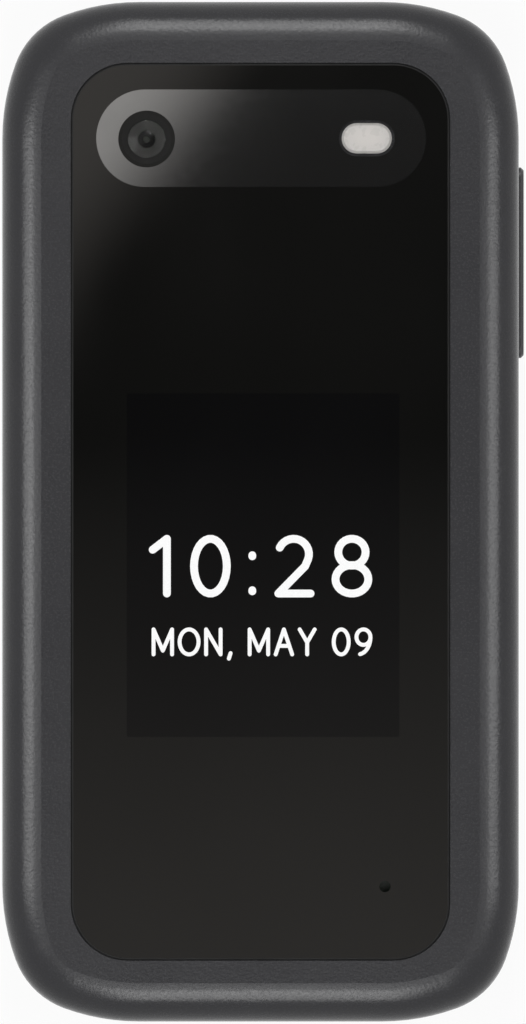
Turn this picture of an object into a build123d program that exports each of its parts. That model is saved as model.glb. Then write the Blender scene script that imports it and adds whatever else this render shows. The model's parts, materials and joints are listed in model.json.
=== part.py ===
from build123d import *
from math import cos, pi, radians, sin, sqrt, tan
import os

# A folding phone lying shut on its back: +Z is the lid's outer face, +Y the hinge, X the width. mm.

# Overall
WIDTH = 54.7
LENGTH = 108.0
THICK = 18.9
LID_T = 8.4
SPLIT = 0.3  # between the lid and the base when shut
BASE_T = THICK - LID_T - SPLIT
LID_Z = BASE_T + SPLIT
EDGE_R = LID_T / 2  # the lid's edge turns about the hinge axis
INNER_CUT = 0.4 * EDGE_R  # slope inside a rounded outer edge
HALF_W, HALF_L = WIDTH / 2, LENGTH / 2

# Corners seen from above: a tight arc between two easy ones
CORNER = 14.5
EASY_R = 23.2
TURN = 20.0

# Walls, gaps and small cuts
WALL = 1.3
COVER_WALL = 1.2
FIT = 0.1  # between parts of one half
RUN = 0.05  # in a turning bore
SLIM = 0.02  # around a seated piece
STACK = 0.05  # between flat layers
RIM_CUT = 0.3  # chamfer on a sharp rim
GLASS_CUT = 0.25  # bevel on the window and the flash
PAST = 1.0  # how far a cut runs past the face that it opens

# Hinge
AXIS_Y = HALF_L - EDGE_R
AXIS_Z = THICK - EDGE_R
KNUCKLE_R = EDGE_R - 1.3
KNUCKLE_X = 12.0  # half-length
KNUCKLE_GAP = 0.2
BARREL_R = KNUCKLE_R - 0.8
BARREL_X = 2.0  # where the barrel ends, past the middle
SHAFT_R = BARREL_R - 0.75
SHAFT_DEEP = 5.4  # how far the shaft reaches into the barrel
BUSH_R = KNUCKLE_R - 1.3
BUSH_DEEP, BUSH_SPARE = 6.0, 0.2  # how far the bush reaches into the knuckle, and its bore past it
FLEX_R = BUSH_R - 0.65
EAR_X = 18.4  # how far out the bores in the ears reach
KEY_SHORT, BUSH_SHORT = 0.6, 0.4  # how far the shaft and the bush end before that
EAR_Y = AXIS_Y - 4.8
LIP_ANGLE = 3.0  # degrees about the axis, from +Y towards +Z
NECK_LOW, NECK_HIGH = 177.0, 209.0
NECK_SLOPE = 1.9
NECK_Y = AXIS_Y - 6.2
NOTCH_Y = NECK_Y - SPLIT
NOTCH_TOP = AXIS_Z + 0.6
NOTCH_WALL = 0.8

# Levels of the base, from the keypad down
RIM_Z = BASE_T
FLOOR_Z = RIM_Z - 0.7
DECK_Z = FLOOR_Z - 1.0
KEY_TOP = RIM_Z - 0.2
FLANGE_TOP = DECK_Z - STACK
FLANGE_Z = FLANGE_TOP - 0.45
TRAVEL = 0.35
MAT_TOP = FLANGE_Z - TRAVEL - STACK
MAT_Z = MAT_TOP - 0.5
DOME_TOP = MAT_Z - STACK
DOME_Z = DOME_TOP - 0.3
DOME_RISE = 0.1
BOARD_TOP = DOME_Z - STACK
BOARD_Z = BOARD_TOP - 0.7
TRAY_TOP = BOARD_Z - STACK
TRAY_Z = TRAY_TOP - 0.6
SEAM_Z = TRAY_Z - 0.35
BATTERY_TOP = TRAY_Z - STACK
BATTERY_Z = COVER_WALL + FIT
BATTERY_T = BATTERY_TOP - BATTERY_Z
PAD_Z0, PAD_Z1 = BATTERY_Z + 0.3 * BATTERY_T, BATTERY_TOP - 0.2 * BATTERY_T
CONTACT_Z = BATTERY_Z + 0.25 * BATTERY_T
CHASSIS_Z = COVER_WALL + 0.3
CHASSIS_IN = max(WALL + 0.2, COVER_WALL + 0.3)
TRAY_FLOOR = CHASSIS_Z + 0.9
BACK_EDGE = 4.2
BACK_R = min(BACK_EDGE, SEAM_Z - 0.7)
BACK_CUT = 0.4 * BACK_R  # slope inside the back's rounded edge

# Levels of the lid, from the inner face up
FRAME_T = 1.2
LENS_SUNK = 0.2
LENS_T = 0.8
LCD_Z = LID_Z + FRAME_T + STACK
LCD_T = 2.25
LID_BOARD_Z = LCD_Z + LCD_T + FIT
LID_BOARD_T = 0.6
LID_BOARD_TOP = LID_BOARD_Z + LID_BOARD_T
WINDOW_T = 1.0
WINDOW_Z = THICK - WINDOW_T
LEDGE_T = 0.9
LEDGE_Z = WINDOW_Z - LEDGE_T

# Lid, outer face
BORDER_X, BORDER_Y, WINDOW_R = 7.325, 6.6, 6.0
WINDOW_W, WINDOW_L = WIDTH - 2 * BORDER_X, LENGTH - 2 * BORDER_Y
PILL_W, PILL_H, PILL_SUNK = WINDOW_W - 5.2, 10.3, 0.35
PILL_X, PILL_Y = 0.07, NOTCH_Y - 3.85
CAMERA_X, CAMERA_Y = 5.4 - PILL_W / 2, PILL_Y - 0.08
BEZEL_R, BEZEL_LEDGE, OPTIC_R, CAMERA_BOX = 2.98, 0.4, 2.0, 5.5
FLASH_X, FLASH_W, FLASH_H, FLASH_RING = PILL_W / 2 - 6.2, 5.3, 3.2, 0.6
FLASH_LEDGE_X, FLASH_LEDGE_Y = 0.75, 0.5
SHOW_W, SHOW_H = WINDOW_W - 9.0, LENGTH - 69.6
SHOW_X, SHOW_Y = 0.27, -5.64
PINHOLE_X, PINHOLE_Y, PINHOLE_R = HALF_W - 14.2, 14.4 - HALF_L, 0.6

# Lid, inner face
LENS_W, LENS_L, LENS_Y, LENS_R = WIDTH - 8.2, LENGTH - 36.0, -2.5, 2.0
LENS_RIM_X, LENS_RIM_Y = 1.0, 6.0  # what the lens is glued to
LCD_W, LCD_L = WIDTH - 4.7, LENGTH - 38.8
EAR_SLOT_Y, EAR_SLOT_W, EAR_SLOT_H = 9.0 - HALF_L, 9.0, 1.4
BUMPER_X, BUMPER_Y, BUMPER_W, BUMPER_L = HALF_W - 13.35, 4.3 - HALF_L, 4.4, 2.4
BUMPER_CUT, BUMPER_SUNK = 0.7, 0.4

# Keypad
RECESS_IN, RECESS_R = 2.2, 3.0
RECESS_Y = HALF_L - 17.0
KEY_GAP = 1.0
KEY_W = (WIDTH - 8.9 - 2 * KEY_GAP) / 3
KEY_PITCH = KEY_W + KEY_GAP
KEYPAD_Y = 6.5 - HALF_L
ROW_PITCH = (LENGTH - 59.6) / 4
KEY_H = ROW_PITCH - KEY_GAP
KEY_CUT = 1.3
HOLE_GAP = 0.15
FLANGE = 0.45
DOME_R = 2.6
NAV_Y = KEYPAD_Y + 4 * ROW_PITCH + 17.7
NAV_R, NAV_HOLE_R, SELECT_R = 12.5, 5.6, 5.3
NAV_SKIRT = 1.3
WING_R = NAV_R + 0.8
WING_X0, WING_X1 = 4.5, HALF_W - 4.45
WING_H = 16.4
WING_GAP = 1.2

# Navigation ring's gimbal
GIMBAL_Z = DECK_Z - 0.65
GIMBAL_T = 0.4
GIMBAL_R0, GIMBAL_R1 = 6.8, 8.9
TRUNNION_R, TRUNNION_X = 0.3, 9.9
TRUNNION_SIDES = 8
CRADLE_W, CRADLE_L = 1.8, 1.2
CRADLE_X = TRUNNION_X - CRADLE_L / 2

# Battery bay and boards
BAY_W, BAY_L, BAY_Y = WIDTH - 14.3, LENGTH - 49.6, -2.0
BAY_LOW, BAY_HIGH = BAY_Y - BAY_L / 2, BAY_Y + BAY_L / 2
CONTACT_PITCH = 2.6
BOARD_X = HALF_W - 4.95
BOARD_Y0, BOARD_Y1 = 3.6 - HALF_L, HALF_L - 11.5
POCKET_X, POCKET_Y0, POCKET_Y1 = HALF_W - 6.8, 6.5 - HALF_L, HALF_L - 11.0
CARD_W, CARD_L, CARD_Y = 17.0, 13.6, BAY_HIGH + 8.7

# Screws
SCREW_R, HEAD_R, HEAD_T = 0.6, 1.1, 0.6
LID_SCREW_X, LID_SCREW_YS = HALF_W - 5.85, (12.0 - HALF_L, HALF_L - 15.5)
LID_BOSS, LID_HEAD_Z, LID_SCREW_L = 3.4, LID_Z + 0.2, 4.0
BOSS_X, BOSS_R = HALF_W - 2.6, 1.36
BASE_SCREWS = ((BOSS_X, 18.0 - HALF_L), (HALF_W - 4.85, HALF_L - 9.5))
BASE_HEAD_TOP, BASE_SCREW_L = TRAY_TOP - 0.8, 2.6

# Sockets and the side key
JACK_Y, JACK_R, JACK_DEEP, JACK_COLLAR = HALF_L - 14.4, 1.8, 13.4, 0.4
JACK_Z = (RIM_Z + SEAM_Z) / 2
JACK_BOX = 4.2
JACK_ROOM_X = 1.6 - HALF_W + JACK_DEEP
USB_W, USB_H, USB_DEEP, USB_WALL = 7.6, 2.7, 5.2, 0.3
USB_Y0 = 0.7 - HALF_L
USB_Z = BOARD_TOP + 0.3
VOLUME_Y, VOLUME_L, VOLUME_H, PROUD = HALF_L - 27.5, 20.3, 2.2, 0.65
VOLUME_Z, VOLUME_GAP = (DECK_Z + TRAY_TOP) / 2, 0.22
PIVOT_X, PIVOT_R = HALF_W - 2.15, 0.6
SPEAKER_X, SPEAKER_Y, SPEAKER_R = -9.0, 13.6 - HALF_L, 6.5
MIC_X, MIC_Y, MIC_R = 10.0, BOARD_Y0 + 1.3, 0.5
THUMB_Y, THUMB_W, THUMB_H, THUMB_DEEP = 16.0 - HALF_L, 9.0, 1.5, 0.7


def box(x0, x1, y0, y1, z0, z1):
    middle = Pos((x0 + x1) / 2, (y0 + y1) / 2, (z0 + z1) / 2)
    return middle * Box(x1 - x0, y1 - y0, z1 - z0)


def block(w, length, z0, z1, x=0, y=0):
    return box(x - w / 2, x + w / 2, y - length / 2, y + length / 2, z0, z1)


def rod(r, z0, z1, x=0, y=0):
    return Pos(x, y, (z0 + z1) / 2) * Cylinder(r, z1 - z0)


def prism_rod(sides, r, z0, z1, x=0, y=0):
    """An upright bar with flat sides, r to its corners, for small or hidden round pieces."""
    face = RegularPolygon(r, sides, rotation=180 / sides)
    return Pos(x, y, z0) * extrude(face, z1 - z0)


def axle(r, x0, x1, y=AXIS_Y, z=AXIS_Z):
    return Pos((x0 + x1) / 2, y, z) * Rot(0, 90, 0) * Cylinder(r, x1 - x0)


def flat_axle(sides, r, x0, x1, y=AXIS_Y, z=AXIS_Z):
    """A bar along X with flat sides, r to its corners."""
    bar = extrude(RegularPolygon(r, sides), (x1 - x0) / 2, both=True)
    return Pos((x0 + x1) / 2, y, z) * Rot(0, 90, 0) * bar


def slab(w, length, r, z0, z1, x=0, y=0):
    return Pos(x, y, z0) * extrude(RectangleRounded(w, length, r), z1 - z0)


def clipped(w, h, cut):
    """A rectangle with its corners clipped."""
    return chamfer(Rectangle(w, h).vertices(), cut)


def pill(w, h, z0, z1, x=0, y=0):
    return Pos(x, y, z0) * extrude(SlotOverall(w, h), z1 - z0)


def side_slot(w, h, x0, x1, y, z):
    """A slot with round ends, w along Y and h along Z, carried along X."""
    return Pos(x0, y, z) * extrude(Plane.YZ * SlotOverall(w, h), x1 - x0)


def side_prism(points, x0, x1):
    """A profile in Y and Z, measured from the hinge axis, carried along X."""
    line = Polyline(*[(y + AXIS_Y, z + AXIS_Z) for y, z in points], close=True)
    return Pos(x0, 0, 0) * extrude(Plane.YZ * make_face(line), x1 - x0)


def outline(inset=0.0, smooth=True):
    """The phone's outline, drawn in by inset, with every arc about the same centre.
    Hidden outlines may have chords in place of the arcs."""
    turn = radians(TURN)
    tight_r = (CORNER - EASY_R * (1 - cos(turn) + sin(turn))) / (cos(turn) - sin(turn))
    side = Vector(HALF_W - EASY_R, HALF_L - CORNER)
    end = Vector(HALF_W - CORNER, HALF_L - EASY_R)
    tight = side + Vector(cos(turn), sin(turn)) * (EASY_R - tight_r)

    def at(centre, r, angle):
        return centre + Vector(cos(radians(angle)), sin(radians(angle))) * (r - inset)

    arcs = [
        [at(side, EASY_R, a) for a in (0, TURN / 2, TURN)],
        [at(tight, tight_r, a) for a in (TURN, 45, 90 - TURN)],
        [at(end, EASY_R, a) for a in (90 - TURN, 90 - TURN / 2, 90)],
    ]
    edges, last, first = [], None, None
    for sx, sy, forward in ((1, 1, True), (-1, 1, False), (-1, -1, True), (1, -1, False)):
        for arc in arcs if forward else arcs[::-1]:
            three = [(p.X * sx, p.Y * sy) for p in (arc if forward else arc[::-1])]
            if last and sqrt((last[0] - three[0][0]) ** 2 + (last[1] - three[0][1]) ** 2) > SLIM:
                edges.append(Line(last, three[0]))
            edges += [ThreePointArc(*three)] if smooth else Polyline(*three).edges()
            first, last = first or three[0], three[2]
    edges.append(Line(last, first))
    return make_face(Wire(edges))


def prism(inset, z0, z1, smooth=True):
    return Pos(0, 0, z0) * extrude(outline(inset, smooth), z1 - z0)


def top_edges(solid):
    return solid.faces().sort_by(Axis.Z)[-1].edges()


def bottom_edges(solid):
    return solid.faces().sort_by(Axis.Z)[0].edges()


def far(y):
    """All space beyond y towards the hinge."""
    return box(-WIDTH, WIDTH, y, LENGTH, -THICK, 2 * THICK)


def mirrored(x, y):
    return ((x, y), (-x, y))


def screw(x, y, under, length):
    """A screw that points up, its head standing on z = under."""
    top = under + HEAD_T
    return prism_rod(12, HEAD_R, under, top, x, y) + prism_rod(6, SCREW_R, top, top + length, x, y)


# ---------------------------------------------------------------- lid

LID_SCREWS = [spot for y in LID_SCREW_YS for spot in mirrored(LID_SCREW_X, y)]


def lid_blank():
    solid = prism(0, LID_Z, THICK)
    solid = fillet(top_edges(solid), EDGE_R)
    solid = chamfer(bottom_edges(solid), RIM_CUT)
    under = box(-WIDTH, WIDTH, AXIS_Y, LENGTH, LID_Z - PAST, AXIS_Z)
    return solid - (under - axle(EDGE_R, -WIDTH, WIDTH))


def notch_room(gap=0.0):
    """What the hinge notch and its wall keep clear inside the lid."""
    half = KNUCKLE_X + KNUCKLE_GAP + NOTCH_WALL + gap
    return box(-half, half, NOTCH_Y - NOTCH_WALL - gap, LENGTH, 0, THICK)


def lid_cavity():
    room = prism(WALL, LID_Z - PAST, LEDGE_Z)
    room = chamfer(top_edges(room), INNER_CUT)
    return room - far(EAR_Y) - notch_room()


def hinge_notch():
    """Room for the knuckle and its neck, under a lip that carries the lid's round edge across."""
    half = KNUCKLE_X + KNUCKLE_GAP
    low = box(-half, half, NOTCH_Y, LENGTH, LID_Z - PAST, AXIS_Z)
    low += box(-half, half, NOTCH_Y, AXIS_Y, LID_Z, NOTCH_TOP)
    reach = 2 * EDGE_R
    rise = reach * tan(radians(LIP_ANGLE))
    lip = side_prism([(0, -PAST), (0, 0), (reach, rise), (reach, -PAST)], -half, half)
    return low + lip + axle(KNUCKLE_R + KNUCKLE_GAP, -half, half)


def lid_outer_shell():
    solid = lid_blank() - lid_cavity()
    screw_end = LID_HEAD_Z + HEAD_T + LID_SCREW_L
    for x, y in LID_SCREWS:
        solid += block(LID_BOSS, LID_BOSS, LCD_Z, LEDGE_Z, x, y)
        solid -= prism_rod(6, SCREW_R + SLIM, LID_Z, screw_end + STACK, x, y)
    solid -= slab(WINDOW_W + 2 * SLIM, WINDOW_L + 2 * SLIM, WINDOW_R + SLIM, WINDOW_Z, THICK + PAST)
    solid -= block(SHOW_W + 2 * FIT, SHOW_H + 2 * FIT, LEDGE_Z - PAST, THICK, SHOW_X, SHOW_Y)
    solid -= prism_rod(12, BEZEL_R - BEZEL_LEDGE, LEDGE_Z - PAST, THICK, CAMERA_X, CAMERA_Y)
    solid -= block(FLASH_W - 2 * FLASH_LEDGE_X, FLASH_H - 2 * FLASH_LEDGE_Y, LEDGE_Z - PAST, THICK,
                   FLASH_X, PILL_Y)
    solid -= prism_rod(12, PINHOLE_R, LEDGE_Z - PAST, THICK, PINHOLE_X, PINHOLE_Y)
    solid -= hinge_notch()
    solid -= flat_axle(6, SHAFT_R + SLIM, -EAR_X, -KNUCKLE_X)
    return solid - axle(BUSH_R + SLIM, KNUCKLE_X, EAR_X)


def lid_window():
    solid = slab(WINDOW_W, WINDOW_L, WINDOW_R, WINDOW_Z, THICK)
    solid = chamfer(top_edges(solid), GLASS_CUT)
    solid -= pill(PILL_W + 2 * SLIM, PILL_H + 2 * SLIM, THICK - PILL_SUNK, THICK + PAST, PILL_X, PILL_Y)
    solid -= camera_strip_holes()
    return solid - prism_rod(12, PINHOLE_R, 0, 2 * THICK, PINHOLE_X, PINHOLE_Y)


def camera_strip_holes():
    """Through the window and the strip alike, for the camera and the flash."""
    round_hole = rod(BEZEL_R + SLIM, 0, 2 * THICK, CAMERA_X, CAMERA_Y)
    return round_hole + pill(FLASH_W + FLASH_RING, FLASH_H + FLASH_RING, 0, 2 * THICK, FLASH_X, PILL_Y)


def camera_plate():
    solid = pill(PILL_W, PILL_H, THICK - PILL_SUNK + SLIM, THICK - SLIM, PILL_X, PILL_Y)
    return solid - camera_strip_holes()


def camera_bezel():
    flare, deep = 0.6, 0.4
    solid = rod(BEZEL_R, WINDOW_Z + SLIM, THICK, CAMERA_X, CAMERA_Y)
    solid -= rod(OPTIC_R, 0, 2 * THICK, CAMERA_X, CAMERA_Y)
    return solid - Pos(CAMERA_X, CAMERA_Y, THICK - deep / 2) * Cone(OPTIC_R, OPTIC_R + flare, deep)


def camera_lens():
    sunk, edge_cut = 0.42, 0.12
    solid = rod(OPTIC_R - SLIM, WINDOW_Z + FIT, THICK - sunk, CAMERA_X, CAMERA_Y)
    return chamfer(top_edges(solid), edge_cut)


def camera_module():
    """A square body let into the lid's board, with its round barrel under the bezel."""
    below_board, barrel_r = 0.4, OPTIC_R + 0.2
    z0, z1 = LID_BOARD_Z - below_board, LEDGE_Z - FIT
    solid = block(CAMERA_BOX, CAMERA_BOX, z0, z1, CAMERA_X, CAMERA_Y)
    return solid + prism_rod(12, barrel_r, z1, WINDOW_Z, CAMERA_X, CAMERA_Y)


def flash_lens():
    solid = pill(FLASH_W, FLASH_H, WINDOW_Z + SLIM, THICK - STACK, FLASH_X, PILL_Y)
    return chamfer(top_edges(solid), GLASS_CUT)


def flash_led():
    """A square stand on the lid's board with the emitter on top."""
    stand_w, stand_l, emitter_w, emitter_l, emitter_t = 3.2, 2.0, 2.4, 1.6, 0.5
    top = WINDOW_Z - FIT
    solid = block(stand_w, stand_l, LID_BOARD_TOP, top - emitter_t, FLASH_X, PILL_Y)
    return solid + block(emitter_w, emitter_l, top - emitter_t, top, FLASH_X, PILL_Y)


def outer_display():
    """A wider case under the shell's ledge, with its face up in the opening."""
    side, end = 1.5, 2.0
    base = LID_BOARD_TOP + FIT
    step = (base + LEDGE_Z) / 2
    solid = block(SHOW_W + 2 * side, SHOW_H + 2 * end, base, step, SHOW_X, SHOW_Y)
    return solid + block(SHOW_W, SHOW_H, step, WINDOW_Z - FIT, SHOW_X, SHOW_Y)


def bumper_face(gap=0.0):
    return clipped(BUMPER_W + 2 * gap, BUMPER_L + 2 * gap, BUMPER_CUT)


def lid_inner_frame():
    solid = prism(WALL + FIT, LID_Z, LID_Z + FRAME_T) - far(EAR_Y - FIT) - notch_room(FIT)
    lens_z = LID_Z + LENS_SUNK + LENS_T
    solid -= slab(LENS_W + 2 * FIT, LENS_L + 2 * FIT, LENS_R + FIT, 0, lens_z, 0, LENS_Y)
    solid -= block(LENS_W - 2 * LENS_RIM_X, LENS_L - 2 * LENS_RIM_Y, 0, THICK, 0, LENS_Y)
    solid -= Pos(0, EAR_SLOT_Y, 0) * extrude(clipped(EAR_SLOT_W, EAR_SLOT_H, 0.4), THICK)
    for x, y in LID_SCREWS:
        solid -= prism_rod(6, SCREW_R + FIT, 0, THICK, x, y)
        solid -= prism_rod(12, HEAD_R + FIT, 0, LID_HEAD_Z + HEAD_T, x, y)
    for x, y in mirrored(BUMPER_X, BUMPER_Y):
        solid -= Pos(x, y, 0) * extrude(bumper_face(SLIM), LID_Z + BUMPER_SUNK)
    return solid


def inner_display_lens():
    z0, edge_cut = LID_Z + LENS_SUNK, 0.2
    solid = slab(LENS_W, LENS_L, LENS_R, z0, z0 + LENS_T, 0, LENS_Y)
    return chamfer(bottom_edges(solid), edge_cut)


def inner_display():
    """A metal case with its glass sunk a little, seen through the lens."""
    lip, sunk = 0.2, 0.2
    solid = block(LCD_W, LCD_L, LCD_Z, LCD_Z + LCD_T, 0, LENS_Y)
    return solid - block(LENS_W - 2 * (LENS_RIM_X + lip), LENS_L - 2 * (LENS_RIM_Y + lip),
                         LCD_Z - PAST, LCD_Z + sunk, 0, LENS_Y)


def earpiece():
    width, length, thick, corner = 12.0, 5.6, 2.0, 1.5
    mouth_w, mouth_l, mouth_deep = 8.0, 2.0, 0.3
    solid = Pos(0, EAR_SLOT_Y, LCD_Z) * extrude(clipped(width, length, corner), thick)
    return solid - block(mouth_w, mouth_l, LCD_Z - PAST, LCD_Z + mouth_deep, 0, EAR_SLOT_Y)


def lid_board():
    """Runs behind both displays, with a tongue to the earpiece and the hinge, and its tallest parts."""
    z0, z1 = LID_BOARD_Z, LID_BOARD_TOP
    side, end, gap, camera_gap = 1.0, 1.5, 0.3, 0.2
    solid = block(LCD_W - 2 * side, LCD_L - 2 * end, z0, z1, 0, LENS_Y)
    tongue = LID_SCREW_X - LID_BOSS / 2 - gap
    solid += box(-tongue, tongue, EAR_SLOT_Y, NOTCH_Y - NOTCH_WALL - gap, z0, z1)
    hole = CAMERA_BOX + 2 * camera_gap
    solid -= block(hole, hole, 0, THICK, CAMERA_X, CAMERA_Y)
    chip_w, chip_l, chip_t, chip_pitch, chip_y = 6.0, 5.0, 1.1, 9.0, SHOW_Y + SHOW_H / 2 + 9.0
    for i in (-1, 0, 1):
        solid += block(chip_w, chip_l, z1, z1 + chip_t, i * chip_pitch, chip_y)
    plug_w, plug_l, plug_t, plug_y = 14.0, 3.0, 1.0, SHOW_Y - SHOW_H / 2 - 6.0
    return solid + block(plug_w, plug_l, z1, z1 + plug_t, 0, plug_y)


def lid_magnet():
    """Tells a sensor in the base that the lid is shut."""
    side, thick, x, y = 4.0, 1.6, 11.0 - HALF_W, 9.5 - HALF_L
    return block(side, side, LCD_Z, LCD_Z + thick, x, y)


def lid_bumpers():
    z0 = FLOOR_Z + FIT
    pad = Pos(0, 0, z0) * extrude(bumper_face(), LID_Z + BUMPER_SUNK - SLIM - z0)
    pad = chamfer(bottom_edges(pad), RIM_CUT)
    return Compound([Pos(x, y) * pad for x, y in mirrored(BUMPER_X, BUMPER_Y)])


def lid_screws():
    return Compound([screw(x, y, LID_HEAD_Z, LID_SCREW_L) for x, y in LID_SCREWS])


# ---------------------------------------------------------------- hinge

SPIGOT_R = 0.8 * SHAFT_R


def hinge_shaft():
    """Keyed in the lid's left ear, running in the cam barrel."""
    notch_side = -KNUCKLE_X - KNUCKLE_GAP
    key = flat_axle(6, SHAFT_R, KEY_SHORT - EAR_X, notch_side)
    return key + axle(SPIGOT_R, notch_side, SHAFT_DEEP - KNUCKLE_X)


def hinge_barrel():
    """The cam barrel, seated in the base's knuckle."""
    past_shaft = 0.6
    bore = axle(SPIGOT_R + RUN, -KNUCKLE_X - PAST, SHAFT_DEEP - KNUCKLE_X + past_shaft)
    return axle(BARREL_R, -KNUCKLE_X, BARREL_X) - bore


def hinge_bush():
    """A hollow pin, fast in the lid's right ear, running in the base's knuckle."""
    solid = axle(BUSH_R, KNUCKLE_X - BUSH_DEEP, EAR_X - BUSH_SHORT)
    return solid - axle(FLEX_R, 0, EAR_X + PAST)


def neck():
    """Joins the knuckle to the deck from the keypad side and clears the lid's lip."""
    def polar(r, angle):
        return r * cos(radians(angle)), r * sin(radians(angle))

    clear = EDGE_R + KNUCKLE_GAP
    root = FLOOR_Z - AXIS_Z
    front = NECK_Y - AXIS_Y
    low, high = polar(clear, NECK_HIGH), polar(clear + FIT, NECK_LOW)
    shoulder = high[1] - NECK_SLOPE
    points = [(0, 0), high, (front, shoulder), (front, root), (low[0], root), low]
    return side_prism(points, -KNUCKLE_X, KNUCKLE_X)


# ---------------------------------------------------------------- keys


def number_keys():
    names = ["key_1", "key_2", "key_3", "key_4", "key_5", "key_6", "key_7", "key_8", "key_9",
             "key_star", "key_0", "key_hash"]
    spots = {}
    for i, name in enumerate(names):
        row, column = divmod(i, 3)
        spots[name] = ((column - 1) * KEY_PITCH, KEYPAD_Y + KEY_H / 2 + (3 - row) * ROW_PITCH)
    return spots


NUMBER_KEYS = number_keys()
WINGS = {"soft_key_left": (-1, 1), "soft_key_right": (1, 1), "call_key": (-1, -1), "end_key": (1, -1)}


def key_face(name, grow=0.0):
    """A key seen from above, drawn larger by grow."""
    cut = KEY_CUT + grow * (2 - sqrt(2))
    if name in NUMBER_KEYS:
        x, y = NUMBER_KEYS[name]
        return Pos(x, y, 0) * clipped(KEY_W + 2 * grow, KEY_H + 2 * grow, cut)
    sx, sy = WINGS[name]
    w, h = WING_X1 - WING_X0 + 2 * grow, WING_H - WING_GAP / 2 + 2 * grow
    x, y = (WING_X0 + WING_X1) / 2, (WING_H + WING_GAP / 2) / 2
    face = Pos(sx * x, NAV_Y + sy * y, 0) * clipped(w, h, cut)
    return face - Pos(0, NAV_Y, 0) * Circle(WING_R - grow)


def key(name):
    stem = Pos(0, 0, FLANGE_Z) * extrude(key_face(name), KEY_TOP - FLANGE_Z)
    stem = chamfer(top_edges(stem), RIM_CUT)
    foot = Pos(0, 0, FLANGE_Z) * extrude(key_face(name, FLANGE), FLANGE_TOP - FLANGE_Z)
    return stem + foot


# ---------------------------------------------------------------- base shell


def recess():
    face = Pos(0, 0, FLOOR_Z) * outline(RECESS_IN)
    solid = extrude(face, THICK) - far(RECESS_Y)
    corners = solid.edges().filter_by(Axis.Z).group_by(Axis.Y)[-1]
    return fillet(corners, RECESS_R)


def jack_room(half, z0, z1):
    """The space that the headset socket takes from the left wall inwards."""
    return box(-WIDTH, JACK_ROOM_X, JACK_Y - half, JACK_Y + half, z0, z1)


def base_front_shell():
    rim_cut, jack_half, jack_roof = 0.35, 2.8, RIM_Z - 0.5
    solid = prism(0, SEAM_Z + FIT, RIM_Z)
    solid = chamfer(top_edges(solid), rim_cut)
    solid -= prism(WALL, 0, DECK_Z, smooth=False)
    solid -= jack_room(jack_half, 0, jack_roof) - box(-WIDTH, WALL - HALF_W, -LENGTH, LENGTH, 0, THICK)
    solid -= recess()
    for name in list(NUMBER_KEYS) + list(WINGS):
        solid -= extrude(key_face(name, HOLE_GAP), THICK)
    solid -= rod(NAV_R + 2 * HOLE_GAP, 0, THICK, 0, NAV_Y)
    for x, y in base_screw_spots():
        solid += block(2 * BOSS_R, 2 * BOSS_R, TRAY_TOP + STACK, DECK_Z, x, y)
        solid -= prism_rod(6, SCREW_R + SLIM, TRAY_Z, DECK_Z - FIT, x, y)
    solid += neck() + axle(KNUCKLE_R, -KNUCKLE_X, KNUCKLE_X)
    solid -= axle(BARREL_R + SLIM, -KNUCKLE_X - PAST, BARREL_X + FIT)
    solid -= axle(BUSH_R + RUN, KNUCKLE_X - BUSH_DEEP - BUSH_SPARE, KNUCKLE_X + PAST)
    solid -= side_slot(VOLUME_L + 2 * VOLUME_GAP, VOLUME_H + 2 * VOLUME_GAP,
                       HALF_W - WALL - PAST / 2, HALF_W + PAST, VOLUME_Y, VOLUME_Z)
    solid -= axle(JACK_R + JACK_COLLAR + FIT, -HALF_W - PAST, 2 - HALF_W, JACK_Y, JACK_Z)
    usb_half, usb_past = USB_H / 2 + FIT, 8.0
    solid -= block(USB_W + 3 * FIT, usb_past, USB_Z - usb_half, USB_Z + usb_half, 0, -HALF_L)
    return solid - prism_rod(12, MIC_R, 0, THICK, MIC_X, MIC_Y)


def base_screw_spots():
    return [spot for x, y in BASE_SCREWS for spot in mirrored(x, y)]


# ---------------------------------------------------------------- keypad works


def select_key():
    """Its flange lies inside the gimbal."""
    z0, flange_t, gap = GIMBAL_Z - 0.15, 0.3, 0.4
    solid = rod(SELECT_R, z0, KEY_TOP, 0, NAV_Y)
    solid = chamfer(top_edges(solid), RIM_CUT)
    return solid + prism_rod(8, GIMBAL_R0 - gap, z0, z0 + flange_t, 0, NAV_Y)


def trunnions(r, reach, angle):
    """A bar through the gimbal's middle, along X turned by angle."""
    return Pos(0, NAV_Y, GIMBAL_Z) * Rot(0, 0, angle) * flat_axle(TRUNNION_SIDES, r, -reach, reach, 0, 0)


def trunnion_groove(angle):
    """Room for a trunnion to turn in, measured to the flats."""
    return trunnions((TRUNNION_R + RUN) / cos(pi / TRUNNION_SIDES), TRUNNION_X + PAST, angle)


def nav_ring():
    """A hollow ring with two cradles that hang from its roof on the gimbal's trunnions."""
    skirt, rim_cut = 0.3, 0.35
    solid = rod(NAV_R, DECK_Z - skirt, KEY_TOP, 0, NAV_Y)
    solid = chamfer(top_edges(solid), rim_cut)
    solid -= rod(NAV_HOLE_R, 0, THICK, 0, NAV_Y)
    solid -= prism_rod(8, NAV_R - NAV_SKIRT, 0, DECK_Z, 0, NAV_Y)
    for s in (-1, 1):
        solid += block(CRADLE_W, CRADLE_L, GIMBAL_Z, DECK_Z, 0, NAV_Y + s * CRADLE_X)
    return solid - trunnion_groove(90)


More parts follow.
